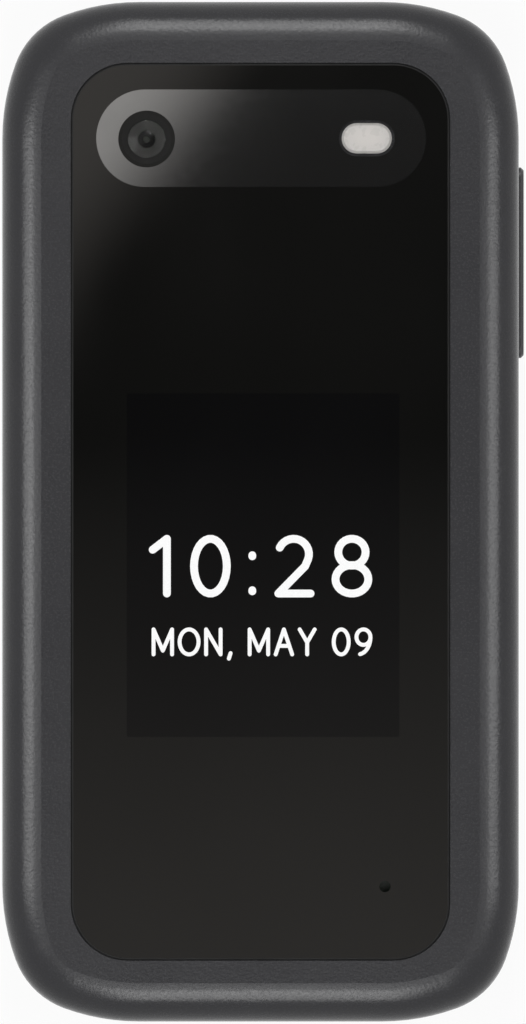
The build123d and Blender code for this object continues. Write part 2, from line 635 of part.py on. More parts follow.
def nav_gimbal():
    z0, z1 = GIMBAL_Z - GIMBAL_T / 2, GIMBAL_Z + GIMBAL_T / 2
    solid = prism_rod(8, GIMBAL_R1, z0, z1, 0, NAV_Y) - prism_rod(8, GIMBAL_R0, 0, THICK, 0, NAV_Y)
    pins = trunnions(TRUNNION_R, TRUNNION_X, 0) + trunnions(TRUNNION_R, TRUNNION_X, 90)
    return solid + (pins - block(2 * GIMBAL_R0, 2 * GIMBAL_R0, 0, THICK, 0, NAV_Y))


def keypad_area(z0, z1, inset=0.0):
    border = 0.4
    x = BOARD_X + border - inset
    return box(-x, x, KEYPAD_Y - border + inset, NAV_Y + WING_H - inset, z0, z1)


def key_mat():
    """A thin mat with a hollow for the ring and two posts that carry the gimbal."""
    web = 0.2
    solid = keypad_area(MAT_Z, MAT_TOP)
    solid -= prism_rod(8, NAV_R - NAV_SKIRT, MAT_Z + web, THICK, 0, NAV_Y)
    for s in (-1, 1):
        solid += block(CRADLE_L, CRADLE_W, MAT_Z, GIMBAL_Z, s * CRADLE_X, NAV_Y)
    return solid - trunnion_groove(0)


def dome_sheet():
    solid = keypad_area(DOME_Z, DOME_TOP - DOME_RISE, 0.4)
    for x, y in NUMBER_KEYS.values():
        solid += prism_rod(6, DOME_R, DOME_TOP - DOME_RISE, DOME_TOP, x, y)
    return solid


# ---------------------------------------------------------------- board and what it carries


def usb_room(z0, z1):
    """The space that the charging socket takes from the front end inwards."""
    return box(-USB_W / 2 - 0.3, USB_W / 2 + 0.3, -LENGTH, USB_Y0 + USB_DEEP + 0.7, z0, z1)


def main_board():
    corner_r, jack_gap = 6.0, 0.8
    solid = box(-BOARD_X, BOARD_X, BOARD_Y0, BOARD_Y1, BOARD_Z, BOARD_TOP)
    solid = fillet(solid.edges().filter_by(Axis.Z).group_by(Axis.Y)[0], corner_r)
    solid -= box(-WIDTH, JACK_ROOM_X, JACK_Y - JACK_BOX / 2 - jack_gap, LENGTH, 0, THICK)
    return solid - usb_room(0, THICK)


def board_shields():
    """Two cans under the board, one at each end of the battery bay."""
    z0, z1 = TRAY_Z - 1.0, BOARD_Z - SLIM
    sheet = 0.25
    cans = ((14.0, 9.0, POCKET_X - 8.5, BAY_LOW - 7.0), (16.0, 6.0, 0, BAY_HIGH + 5.4))
    out = []
    for w, length, x, y in cans:
        can = block(w, length, z0, z1, x, y)
        out.append(can - block(w - 2 * sheet, length - 2 * sheet, z0 + sheet, z1 + PAST, x, y))
    return Compound(out)


def card_sockets():
    """A flat cage, open towards the battery."""
    z0, thick = TRAY_Z - 2.2, 1.0
    mouth_w, mouth_l, mouth_t, floor = 15.4, 12.6, 0.5, 0.3
    solid = block(CARD_W, CARD_L, z0, z0 + thick, 0, CARD_Y)
    return solid - block(mouth_w, mouth_l, z0 + floor, z0 + floor + mouth_t, 0, CARD_Y - 1.0)


def microphone():
    width, length, height, mouth, mouth_deep = 3.4, 2.0, 1.1, 0.7, 0.4
    top = BOARD_TOP + height
    solid = block(width, length, BOARD_TOP + SLIM, top, MIC_X, MIC_Y)
    return solid - block(mouth, mouth, top - mouth_deep, THICK, MIC_X, MIC_Y)


def usb_socket():
    """A sheet-metal shell with its two lower corners cut and a contact tongue under its roof."""
    z0, z1 = USB_Z - USB_H / 2, USB_Z + USB_H / 2
    back, corner = 0.5, 0.8
    solid = box(-USB_W / 2, USB_W / 2, USB_Y0, USB_Y0 + USB_DEEP, z0, z1)
    solid = chamfer(solid.edges().filter_by(Axis.Y).group_by(Axis.Z)[0], corner)
    inner = box(USB_WALL - USB_W / 2, USB_W / 2 - USB_WALL, USB_Y0 - PAST, USB_Y0 + USB_DEEP - back,
                z0 + USB_WALL, z1 - USB_WALL)
    inner = chamfer(inner.edges().filter_by(Axis.Y).group_by(Axis.Z)[0], corner - FIT)
    tongue_w, tongue_t, tongue_gap, tongue_in = 3.8, 0.6, 0.3, 0.6
    roof = z1 - USB_WALL - tongue_gap
    tongue = box(-tongue_w / 2, tongue_w / 2, USB_Y0 + tongue_in, USB_Y0 + USB_DEEP - back + FIT,
                 roof - tongue_t, roof)
    return solid - inner + tongue


def headset_socket():
    x0, x1 = FIT - HALF_W, JACK_DEEP + 0.8 - HALF_W
    half, collar_l = JACK_BOX / 2, 2.0
    solid = box(WALL + FIT - HALF_W, x1, JACK_Y - half, JACK_Y + half, JACK_Z - half, JACK_Z + half)
    solid += axle(JACK_R + JACK_COLLAR, x0, x0 + collar_l, JACK_Y, JACK_Z)
    return solid - axle(JACK_R, x0 - PAST, x0 + JACK_DEEP, JACK_Y, JACK_Z)


def volume_key():
    """One rocker with a flange inside the wall and a pivot rib behind its middle."""
    flange_t, flange_over, rib_h = 0.45, 0.5, 2.0
    solid = side_slot(VOLUME_L, VOLUME_H, PIVOT_X + 0.2, HALF_W + PROUD, VOLUME_Y, VOLUME_Z)
    solid = chamfer(solid.faces().sort_by(Axis.X)[-1].edges(), RIM_CUT)
    half_l, half_h = VOLUME_L / 2 + flange_over, VOLUME_H / 2
    solid += box(PIVOT_X, PIVOT_X + flange_t, VOLUME_Y - half_l, VOLUME_Y + half_l,
                 VOLUME_Z - half_h, VOLUME_Z + half_h)
    return solid + rod(PIVOT_R, VOLUME_Z - rib_h / 2, VOLUME_Z + rib_h / 2, PIVOT_X, VOLUME_Y)


def side_key_board():
    """A small upright board with two switches and a saddle for the rocker's rib."""
    x0, thick, half_l, half_h = PIVOT_X - 1.2, 0.4, 9.5, 1.15
    switch_y, switch, switch_h, saddle = 7.0, 1.5, 1.0, 1.6
    x1 = x0 + thick
    z0, z1 = VOLUME_Z - half_h, VOLUME_Z + half_h
    solid = box(x0, x1, VOLUME_Y - half_l, VOLUME_Y + half_l, z0, z1)
    for s in (-1, 1):
        y = VOLUME_Y + s * switch_y
        solid += box(x1, x1 + thick, y - switch, y + switch, VOLUME_Z - switch_h, VOLUME_Z + switch_h)
    solid += box(x1, PIVOT_X - FIT, VOLUME_Y - saddle, VOLUME_Y + saddle, z0, z1)
    return solid - rod(PIVOT_R + RUN, 0, THICK, PIVOT_X, VOLUME_Y)


# ---------------------------------------------------------------- back half


def rear_chassis():
    """Carries the board, with an open bay for the battery and pockets at both ends of it."""
    bay_wall, gap = 1.2, 0.2
    solid = prism(CHASSIS_IN, CHASSIS_Z, TRAY_TOP, smooth=False)
    solid = chamfer(bottom_edges(solid), BACK_CUT)
    solid -= block(BAY_W, BAY_L, 0, TRAY_Z, 0, BAY_Y)
    solid -= box(-POCKET_X, POCKET_X, POCKET_Y0, BAY_LOW - bay_wall, TRAY_FLOOR, THICK)
    solid -= box(-POCKET_X, POCKET_X, BAY_HIGH + bay_wall, POCKET_Y1, TRAY_FLOOR, THICK)
    card_l, card_y = 12.0, BAY_HIGH + 9.4
    solid -= block(CARD_W + 1.0, card_l, 0, THICK, 0, card_y)
    spring_w, spring_l, spring_y = 9.0, 3.0, BAY_HIGH + 0.2
    solid -= block(spring_w, spring_l, CONTACT_Z - FIT, TRAY_Z, 0, spring_y)
    sound_w, sound_l = 8.6, 9.4
    solid -= block(sound_w, sound_l, 0, THICK, SPEAKER_X, SPEAKER_Y)
    solid -= jack_room(JACK_BOX / 2 + 0.5, JACK_Z - JACK_BOX / 2 - gap, THICK)
    solid -= usb_room(USB_Z - USB_H / 2 - gap, THICK)
    for x, y in base_screw_spots():
        solid -= prism_rod(6, SCREW_R + FIT, 0, THICK, x, y)
        solid -= prism_rod(12, HEAD_R + FIT, 0, BASE_HEAD_TOP, x, y)
    return solid


def base_screws():
    return Compound([screw(x, y, BASE_HEAD_TOP - HEAD_T, BASE_SCREW_L) for x, y in base_screw_spots()])


def battery():
    gap, corner = 0.2, 0.8
    pad_w, pad_deep = 1.6, 1.0
    solid = block(BAY_W - 2 * gap, BAY_L - 2 * gap, BATTERY_Z, BATTERY_TOP, 0, BAY_Y)
    solid = chamfer(solid.edges().filter_by(Axis.Z), corner)
    for i in (-1, 0, 1):
        solid -= block(pad_w, pad_deep, PAD_Z0, PAD_Z1, i * CONTACT_PITCH, BAY_HIGH)
    return solid


def battery_contacts():
    """Three springs in one block, reaching into the battery's three pads."""
    half_w, length, off = 4.4, 1.4, 0.2
    blade, tip, under, over = 0.4, 0.45, 0.3, 0.4
    solid = box(-half_w, half_w, BAY_HIGH + off, BAY_HIGH + off + length, CONTACT_Z, TRAY_Z - FIT)
    for i in (-1, 0, 1):
        x = i * CONTACT_PITCH
        solid += box(x - blade, x + blade, BAY_HIGH - tip, BAY_HIGH + off + FIT,
                     PAD_Z0 + under, PAD_Z1 - over)
    return solid


def loudspeaker():
    return prism_rod(12, SPEAKER_R, TRAY_FLOOR + STACK, BOARD_Z - 0.4, SPEAKER_X, SPEAKER_Y)


def vibration_motor():
    r, below_board = 4.0, 0.95
    return prism_rod(12, r, TRAY_FLOOR + STACK, BOARD_Z - below_board, POCKET_X - 5.0, BAY_HIGH + 7.0)


def antenna():
    """A plated carrier, open underneath the board."""
    gap, length, wall, end_wall = 0.3, 3.0, 0.8, 1.0
    x0, x1, y0, z0 = 2.0, POCKET_X - gap, POCKET_Y0 + gap, TRAY_FLOOR + STACK
    solid = box(x0, x1, y0, y0 + length, z0, BOARD_Z - gap)
    return solid - box(x0 + end_wall, x1 - end_wall, y0 + wall, y0 + length + PAST, z0 + wall, THICK)


def back_cover():
    """Lifts off at a thumb notch; the loudspeaker sounds through five slots."""
    solid = fillet(bottom_edges(prism(0, 0, SEAM_Z)), BACK_R)
    room = prism(COVER_WALL, COVER_WALL, THICK, smooth=False)
    solid -= chamfer(bottom_edges(room), BACK_CUT)
    solid -= side_slot(THUMB_W, THUMB_H, HALF_W - THUMB_DEEP, HALF_W + PAST, THUMB_Y, SEAM_Z)
    slot_w, slot_h, slot_pitch = 8.0, 1.0, 2.0
    slot = extrude(clipped(slot_w, slot_h, 0.35), 2 * COVER_WALL, both=True)
    for i in range(-2, 3):
        solid -= Pos(SPEAKER_X, SPEAKER_Y + i * slot_pitch, 0) * slot
    return solid


PARTS = [
    lid_outer_shell, lid_window, camera_plate, camera_bezel, camera_lens, camera_module, flash_lens,
    flash_led, outer_display, lid_inner_frame, inner_display_lens, inner_display, earpiece, lid_board,
    lid_magnet, lid_bumpers, lid_screws, hinge_shaft, hinge_barrel, hinge_bush, base_front_shell,
    rear_chassis, back_cover, battery, battery_contacts, main_board, board_shields, card_sockets,
    key_mat, dome_sheet, nav_ring, nav_gimbal, select_key, usb_socket, headset_socket, microphone,
    loudspeaker, vibration_motor, antenna, base_screws, side_key_board, volume_key,
]

os.makedirs("parts", exist_ok=True)
for make in PARTS:
    export_step(make(), f"parts/{make.__name__}.step")
for name in list(NUMBER_KEYS) + list(WINGS):
    export_step(key(name), f"parts/{name}.step")
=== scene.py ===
import json
from math import cos, pi, radians, sin, sqrt

import bmesh
import bpy
from mathutils import Matrix, Vector
from mathutils.geometry import delaunay_2d_cdt


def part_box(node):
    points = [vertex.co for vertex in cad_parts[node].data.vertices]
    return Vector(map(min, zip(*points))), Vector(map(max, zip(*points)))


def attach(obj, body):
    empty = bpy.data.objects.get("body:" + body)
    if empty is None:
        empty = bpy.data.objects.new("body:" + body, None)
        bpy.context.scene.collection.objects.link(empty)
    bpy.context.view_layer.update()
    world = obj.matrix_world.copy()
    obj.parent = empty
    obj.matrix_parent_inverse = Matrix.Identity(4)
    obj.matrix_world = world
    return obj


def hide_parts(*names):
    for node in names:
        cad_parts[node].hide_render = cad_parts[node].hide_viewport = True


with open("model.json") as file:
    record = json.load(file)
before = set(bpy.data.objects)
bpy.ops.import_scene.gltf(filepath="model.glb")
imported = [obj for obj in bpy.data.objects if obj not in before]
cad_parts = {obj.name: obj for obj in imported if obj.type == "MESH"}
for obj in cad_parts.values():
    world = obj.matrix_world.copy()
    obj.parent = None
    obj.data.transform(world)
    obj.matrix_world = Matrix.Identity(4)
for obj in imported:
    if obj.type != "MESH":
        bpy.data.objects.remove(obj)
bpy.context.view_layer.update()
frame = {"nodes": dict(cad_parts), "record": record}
nodes = frame["nodes"]
MM = 0.001

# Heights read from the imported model, in metres
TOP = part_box("lid_outer_shell")[1].z
INNER_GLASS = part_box("inner_display_lens")[0].z
KEY_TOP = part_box("key_5")[1].z


def middle(node):
    """The centre of a CAD node's box."""
    low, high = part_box(node)
    return (low + high) / 2


# ---------------------------------------------------------------- materials

# Short names for the shader's sockets
SOCKETS = {
    "color": "Base Color",
    "rough": "Roughness",
    "metal": "Metallic",
    "ior": "IOR",
    "spec": "Specular IOR Level",
    "clear": "Transmission Weight",
    "glow": "Emission Color",
    "glow_strength": "Emission Strength",
}


class Nodes:
    """A material and short ways to add and link its nodes."""

    def __init__(self, name):
        self.material = bpy.data.materials.new(name)
        self.material.use_nodes = True
        self.tree = self.material.node_tree
        self.shader = self.tree.nodes["Principled BSDF"]
        self.output = self.tree.nodes["Material Output"]
        self.place = None

    def add(self, kind, **values):
        """A new node with those properties."""
        node = self.tree.nodes.new(kind)
        for key, value in values.items():
            setattr(node, key, value)
        return node

    def link(self, out, into):
        """Joins one node's output to another's input."""
        self.tree.links.new(out, into)

    def where(self):
        """The point in the object's own metres."""
        if self.place is None:
            self.place = self.add("ShaderNodeTexCoord").outputs["Object"]
        return self.place

    def set(self, **values):
        """Fixed values on the shader's own sockets."""
        for key, value in values.items():
            if isinstance(value, tuple):
                value = (*value, 1.0)
            self.shader.inputs[SOCKETS[key]].default_value = value

    def noise(self, size, detail=2.0, stretch=(1, 1, 1)):
        """Noise with features about size metres across."""
        mapping = self.add("ShaderNodeMapping")
        mapping.inputs["Scale"].default_value = tuple(s / size for s in stretch)
        self.link(self.where(), mapping.inputs["Vector"])
        node = self.add("ShaderNodeTexNoise")
        node.inputs["Scale"].default_value = 1.0
        node.inputs["Detail"].default_value = detail
        self.link(mapping.outputs["Vector"], node.inputs["Vector"])
        return node.outputs["Fac"]

    def between(self, fac, low, high, start=0.3, end=0.7):
        """Maps fac from start..end to low..high."""
        node = self.add("ShaderNodeMapRange")
        for socket, value in zip(("From Min", "From Max", "To Min", "To Max"), (start, end, low, high)):
            node.inputs[socket].default_value = value
        self.link(fac, node.inputs["Value"])
        return node.outputs["Result"]

    def tint(self, fac, low, high):
        """A colour that runs from low to high with fac."""
        node = self.add("ShaderNodeMix", data_type="RGBA")
        node.inputs["A"].default_value = (*low, 1)
        node.inputs["B"].default_value = (*high, 1)
        self.link(fac, node.inputs["Factor"])
        return node.outputs["Result"]

    def bump(self, height, depth, strength=1.0, after=None):
        """Relief of depth metres."""
        node = self.add("ShaderNodeBump")
        node.inputs["Distance"].default_value = depth
        node.inputs["Strength"].default_value = strength
        self.link(height, node.inputs["Height"])
        if after is not None:
            self.link(after, node.inputs["Normal"])
        return node.outputs["Normal"]

    def use(self, name, out):
        """Drives one of the shader's sockets."""
        self.link(out, self.shader.inputs[name])

    def mottle(self, size, detail, dark, light):
        """A base colour that drifts between two shades over about size metres."""
        drift = self.between(self.noise(size, detail), 0, 1)
        self.use("Base Color", self.tint(drift, dark, light))


def scaled(color, share):
    """A darker or lighter shade of a colour."""
    return tuple(c * share for c in color)


def moulded(name, color, rough, grain, depth, spec=0.5):
    """Moulded plastic with a spark-eroded grain, faint cloudiness and uneven gloss."""
    spread = 0.12
    glossier, duller = rough - 0.05, rough + 0.06
    m = Nodes(name)
    m.set(color=color, rough=rough, spec=spec)
    m.mottle(60 * grain, 2.0, scaled(color, 1 - spread), scaled(color, 1 + spread))
    fine = m.noise(grain, 3.0)
    m.use("Roughness", m.between(fine, glossier, duller))
    m.use("Normal", m.bump(fine, depth))
    return m.material


def polished(name, color, rough, spec=0.5):
    """Gloss plastic or glass with faint smears and moulding ripple."""
    smear_size, ripple_size, tone_size = 9 * MM, 14 * MM, 30 * MM
    duller = rough + 0.035
    lighter = tuple(c * 1.25 + 0.0006 for c in color)
    m = Nodes(name)
    m.set(color=color, rough=rough, spec=spec)
    m.mottle(tone_size, 1.0, color, lighter)
    smear = m.noise(smear_size, 3.0, (1, 0.35, 1))
    m.use("Roughness", m.between(smear, rough, duller))
    ripple = m.noise(ripple_size, 1.0)
    m.use("Normal", m.bump(ripple, 0.004 * MM, 0.5))
    return m.material


def metal(name, color, rough, grain=0.25 * MM, stretch=(1, 1, 1)):
    """Bare metal with a fine grain, which stretch turns into brushing."""
    glossier, duller = rough - 0.06, rough + 0.08
    m = Nodes(name)
    m.set(color=color, rough=rough, metal=1.0)
    m.mottle(4 * MM, 2.0, scaled(color, 0.85), color)
    brushed = m.noise(grain, 3.0, stretch)
    m.use("Roughness", m.between(brushed, glossier, duller))
    m.use("Normal", m.bump(brushed, 0.004 * MM))
    return m.material


def frame_plastic():
    """Dark grey, matt, with a fine even grain that breaks up the highlight along the edge."""
    grain_size, pit_size, cloud_size = 0.22 * MM, 0.42 * MM, 7 * MM
    m = Nodes("frame_plastic")
    m.set(color=(0.016, 0.016, 0.018), rough=0.25, spec=0.33)
    m.mottle(cloud_size, 2.0, (0.0145, 0.0145, 0.0168), (0.0175, 0.0175, 0.0198))
    grain = m.noise(grain_size, 2.0)
    m.use("Roughness", m.between(grain, 0.21, 0.30))
    pits = m.add("ShaderNodeTexVoronoi", feature="F1")
    pits.inputs["Scale"].default_value = 1 / pit_size
    m.link(m.where(), pits.inputs["Vector"])
    soft = m.bump(pits.outputs["Distance"], 0.014 * MM, 0.5)
    m.use("Normal", m.bump(grain, 0.013 * MM, 0.8, soft))
    return m.material


def camera_strip():
    """A dark mirror coat with faint smears."""
    m = Nodes("camera_strip")
    m.set(color=(0.28, 0.29, 0.30), rough=0.05, metal=1.0)
    m.mottle(6 * MM, 1.0, (0.272, 0.282, 0.292), (0.288, 0.298, 0.308))
    smear = m.noise(0.9 * MM, 3.0)
    m.use("Roughness", m.between(smear, 0.05, 0.06))
    fine = m.noise(0.1 * MM, 1.0)
    m.use("Normal", m.bump(fine, 0.0006 * MM, 0.4))
    return m.material


def optic_glass():
    """Clear glass with an optical coat, which takes off most of its shine as a low index does."""
    rough = 0.06
    m = Nodes("optic_glass")
    m.set(color=(0.95, 0.955, 0.94), rough=rough, clear=1.0, ior=1.22)
    smear = m.noise(0.6 * MM, 2.0)
    m.use("Roughness", m.between(smear, rough, rough + 0.02))
    return m.material


def ground_edge():
    """The ground bevel round a black glass: matt, and paler than the polished face."""
    m = Nodes("ground_edge")
    m.set(color=(0.020, 0.020, 0.020), rough=0.5, spec=0.3)
    m.mottle(2.5 * MM, 2.0, (0.017, 0.017, 0.017), (0.023, 0.023, 0.023))
    grit = m.noise(0.06 * MM, 2.0)
    m.use("Roughness", m.between(grit, 0.42, 0.58))
    m.use("Normal", m.bump(grit, 0.003 * MM, 0.6))
    return m.material


def flash_diffuser():
    """Milky plastic over white, ribbed like a small Fresnel lens."""
    rib, squash = 0.16 * MM, (0.62, 1.0, 0.0)
    rim_start, rim_end = 0.5 * MM, 1.7 * MM
    m = Nodes("flash_diffuser")
    m.set(color=(0.46, 0.44, 0.42), rough=0.28)
    shift = m.add("ShaderNodeVectorMath", operation="SUBTRACT")
    shift.inputs[1].default_value = middle("flash_lens")
    m.link(m.where(), shift.inputs[0])
    flat = m.add("ShaderNodeVectorMath", operation="MULTIPLY")
    flat.inputs[1].default_value = squash
    m.link(shift.outputs[0], flat.inputs[0])
    length = m.add("ShaderNodeVectorMath", operation="LENGTH")
    m.link(flat.outputs[0], length.inputs[0])
    rings = m.add("ShaderNodeMath", operation="PINGPONG")
    rings.inputs[1].default_value = rib
    m.link(length.outputs["Value"], rings.inputs[0])
    height = m.add("ShaderNodeMath", operation="MULTIPLY")
    height.inputs[1].default_value = 1 / rib
    m.link(rings.outputs[0], height.inputs[0])
    m.use("Normal", m.bump(height.outputs[0], 0.010 * MM, 0.4))
    edge = m.between(length.outputs["Value"], 0.0, 1.0, rim_start, rim_end)
    m.use("Base Color", m.tint(edge, (0.49, 0.468, 0.446), (0.43, 0.415, 0.40)))
    m.use("Roughness", m.between(m.noise(0.8 * MM), 0.22, 0.34))
    return m.material


def glowing(name, color, strength):
    """Lit pixels: an emission that wavers slightly, as a small panel's does."""
    m = Nodes(name)
    m.set(color=(0.02, 0.02, 0.02), rough=0.3, glow=color, glow_strength=strength)
    cell = m.noise(0.12 * MM, 1.0)
    m.use("Emission Color", m.tint(m.between(cell, 0, 1), scaled(color, 0.93), color))
    return m.material


def printed(name, color):
    """Pad-printed ink with a slightly uneven coat."""
    m = Nodes(name)
    m.set(color=color, rough=0.5)
    patch = m.noise(0.35 * MM, 3.0)
    m.use("Base Color", m.tint(m.between(patch, 0, 1), scaled(color, 0.86), color))
    m.use("Roughness", m.between(patch, 0.44, 0.58))
    m.use("Normal", m.bump(patch, 0.002 * MM, 0.5))
    return m.material


def circuit_board():
    """Green solder resist over a pattern of tracks."""
    m = Nodes("circuit_board")
    m.set(color=(0.01, 0.075, 0.03), rough=0.3)
    tracks = m.add("ShaderNodeTexBrick")
    tracks.inputs["Scale"].default_value = 1 / (6 * MM)
    tracks.inputs["Mortar Size"].default_value = 0.03
    tracks.inputs["Color1"].default_value = (0.010, 0.070, 0.028, 1)
    tracks.inputs["Color2"].default_value = (0.012, 0.088, 0.034, 1)
    tracks.inputs["Mortar"].default_value = (0.03, 0.16, 0.07, 1)
    m.link(m.where(), tracks.inputs["Vector"])
    m.use("Base Color", tracks.outputs["Color"])
    m.use("Normal", m.bump(tracks.outputs["Fac"], 0.03 * MM))
    m.use("Roughness", m.between(m.noise(1.5 * MM), 0.25, 0.4))
    return m.material


def mesh_cloth():
    """Fine woven steel mesh, for what sound passes through."""
    m = Nodes("mesh_cloth")
    m.set(color=(0.03, 0.03, 0.032), rough=0.5, metal=0.6)
    weave = m.add("ShaderNodeTexVoronoi", feature="F1", distance="MANHATTAN")
    weave.inputs["Scale"].default_value = 1 / (0.22 * MM)
    weave.inputs["Randomness"].default_value = 0.0
    m.link(m.where(), weave.inputs["Vector"])
    from_wire = m.between(weave.outputs["Distance"], 0, 1, 0.2, 0.6)
    m.use("Base Color", m.tint(from_wire, (0.07, 0.07, 0.072), (0.004, 0.004, 0.004)))
    m.use("Normal", m.bump(weave.outputs["Distance"], 0.04 * MM))
    return m.material


def socket_steel():
    """A steel mouth painted darker deeper in: partly the black moulded tongue inside, partly painted
    shade down the socket's steel walls.
    """
    steel, black = (0.45, 0.45, 0.45), (0.008, 0.008, 0.008)
    steel_end, black_and_shade_from = 0.15 * MM, 0.6 * MM
    m = Nodes("socket_steel")
    m.set(color=steel, rough=0.3, metal=1.0)
    mouth_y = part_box("usb_socket")[0].y
    split = m.add("ShaderNodeSeparateXYZ")
    m.link(m.where(), split.inputs[0])
    # Painted shade: the colour runs from steel to black with depth into the socket, partly the black
    # moulded tongue and partly shade on the walls
    deep = m.between(split.outputs["Y"], 0, 1, mouth_y + steel_end, mouth_y + black_and_shade_from)
    m.use("Base Color", m.tint(deep, steel, black))
    m.use("Roughness", m.between(m.noise(0.2 * MM), 0.24, 0.38))
    return m.material


def battery_film():
    """Dark wrapping film with a faint crease pattern."""
    m = Nodes("battery_film")
    m.set(color=(0.035, 0.036, 0.04), rough=0.35)
    crease = m.noise(3 * MM, 4.0, (1, 0.3, 1))
    m.use("Roughness", m.between(crease, 0.28, 0.45))
    m.use("Normal", m.bump(crease, 0.03 * MM, 0.6))
    m.use("Base Color", m.tint(m.between(crease, 0, 1), (0.03, 0.031, 0.034), (0.042, 0.043, 0.048)))
    return m.material


# One material for each slot of the CAD model
MATS = {
    "frame_plastic": frame_plastic(),
    "window_black": polished("window_black", (0.0030, 0.0030, 0.0028), 0.03),
    "camera_strip": camera_strip(),
    "gloss_black": polished("gloss_black", (0.009, 0.009, 0.0085), 0.14, 0.10),
    "optic_glass": optic_glass(),
    "flash_diffuser": flash_diffuser(),
    "led": moulded("led", (0.75, 0.62, 0.15), 0.4, 0.1 * MM, 0.003 * MM),
    "display_glass": polished("display_glass", (0.0022, 0.0022, 0.0024), 0.03, 0.35),
    "inner_frame": moulded("inner_frame", (0.018, 0.018, 0.020), 0.40, 0.15 * MM, 0.010 * MM),
    "lens_black": polished("lens_black", (0.004, 0.004, 0.0045), 0.03),
    "display_case": metal("display_case", (0.55, 0.55, 0.54), 0.35),
    "board": circuit_board(),
    "magnet": metal("magnet", (0.62, 0.62, 0.61), 0.18),
    "bumper": moulded("bumper", (0.012, 0.012, 0.013), 0.6, 0.2 * MM, 0.015 * MM),
    "steel": metal("steel", (0.5, 0.5, 0.5), 0.28, 0.12 * MM, (1, 8, 8)),
    "chassis": moulded("chassis", (0.016, 0.016, 0.017), 0.5, 0.25 * MM, 0.02 * MM),
    "battery_wrap": battery_film(),
    "contact_gold": metal("contact_gold", (0.85, 0.60, 0.22), 0.22),
    "key_rubber": moulded("key_rubber", (0.06, 0.06, 0.065), 0.55, 0.3 * MM, 0.01 * MM),
    "dome_film": moulded("dome_film", (0.45, 0.45, 0.43), 0.25, 0.6 * MM, 0.01 * MM),
    "key_plastic": moulded("key_plastic", (0.022, 0.022, 0.024), 0.36, 0.13 * MM, 0.006 * MM),
    "nav_plastic": metal("nav_plastic", (0.30, 0.30, 0.31), 0.30, 0.10 * MM),
    "speaker_black": mesh_cloth(),
    "antenna_plastic": metal("antenna_plastic", (0.55, 0.36, 0.18), 0.4),
}
WHITE_PIXELS = glowing("white_pixels", (1.0, 1.0, 1.0), 0.93)
KEY_INK = printed("key_ink", (0.72, 0.73, 0.74))
GREEN_INK = printed("green_ink", (0.03, 0.42, 0.08))
RED_INK = printed("red_ink", (0.55, 0.02, 0.02))
BARREL = moulded("camera_barrel_black", (0.023, 0.023, 0.022), 0.5, 0.08 * MM, 0.002 * MM, 0.12)
IRIS = moulded("camera_iris_black", (0.004, 0.004, 0.004), 0.6, 0.05 * MM, 0.001 * MM, 0.05)
INNER_LENS = polished("camera_inner_coat", (0.010, 0.012, 0.010), 0.2, 0.1)
BLACK_STEEL = metal("black_steel", (0.10, 0.10, 0.105), 0.34)
# The finish of each node that differs from the rest of its slot
FINISH = {
    "lid_screws": BLACK_STEEL,
    "base_screws": BLACK_STEEL,
    "earpiece": MATS["speaker_black"],
    "microphone": MATS["speaker_black"],
    "usb_socket": socket_steel(),
}

for part in frame["record"]["subparts"]:
    mesh = nodes[part["node"]].data
    mesh.materials.clear()
    mesh.materials.append(FINISH.get(part["node"], MATS[part["material_slot"]]))


# ---------------------------------------------------------------- making pieces

# How far a print or a panel's view stands over the face it lies on
PROUD = 0.004 * MM


def piece(name, mesh, body, material, smooth=True):
    """Makes the mesh a visible piece that rides on a body."""
    item = bpy.data.objects.new(name, mesh)
    bpy.context.scene.collection.objects.link(item)
    mesh.materials.append(material)
    for face in mesh.polygons:
        face.use_smooth = smooth
    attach(item, body)
    return item


def finished(bm, name):
    """The mesh of a bmesh, which is freed."""
    mesh = bpy.data.meshes.new(name)
    bm.to_mesh(mesh)
    bm.free()
    return mesh


def lathe(profile, centre):
    """A mesh turned about an upright axis through centre, facing up.

    The profile's (radius, height) points run inwards and end on the axis.
    """
    steps = 96
    bm = bmesh.new()
    turn = [2 * pi * i / steps for i in range(steps)]
    rings = [[bm.verts.new((centre.x + r * cos(a), centre.y + r * sin(a), z)) for a in turn]
             for r, z in profile[:-1]]
    tip = bm.verts.new((centre.x, centre.y, profile[-1][1]))
    for i in range(steps):
        j = (i + 1) % steps
        for outer, inner in zip(rings, rings[1:]):
            bm.faces.new((outer[i], outer[j], inner[j], inner[i]))
        bm.faces.new((rings[-1][i], rings[-1][j], tip))
    return finished(bm, "lathe")


def plate(outlines, z0, z1):
    """A mesh with straight sides on closed outlines in X and Y."""
    bm = bmesh.new()
    for points in outlines:
        low = [bm.verts.new((x, y, z0)) for x, y in points]
        high = [bm.verts.new((x, y, z1)) for x, y in points]
        bm.faces.new(low[::-1])
        bm.faces.new(high)
        for i in range(len(points)):
            j = (i + 1) % len(points)
            bm.faces.new((low[i], low[j], high[j], high[i]))
    bmesh.ops.recalc_face_normals(bm, faces=bm.faces)
    return finished(bm, "plate")


def move(mesh, x, y, z):
    """The same mesh, shifted."""
    mesh.transform(Matrix.Translation((x, y, z)))
    return mesh


def arc(cx, cy, rx, ry, start, end, steps=16):
    """Points on an ellipse's arc, in degrees."""
    angles = [radians(start + (end - start) * i / steps) for i in range(steps + 1)]
    return [(cx + rx * cos(a), cy + ry * sin(a)) for a in angles]


def ellipse(cx, cy, rx, ry, start=0, end=360):
    """An arc with a point about every 12 degrees, or the whole ellipse."""
    return arc(cx, cy, rx, ry, start, end, max(8, int(abs(end - start) / 12)))


def round_rect(w, h, r, x=0.0, y=0.0, steps=10):
    """The outline of a rectangle about x, y, with corners of radius r."""
    right, top = w / 2 - r, h / 2 - r
    points = []
    for cx, cy, start in ((right, top, 0), (-right, top, 90), (-right, -top, 180), (right, -top, 270)):
        points += arc(x + cx, y + cy, r, r, start, start + 90, steps)
    return points


# ---------------------------------------------------------------- lettering


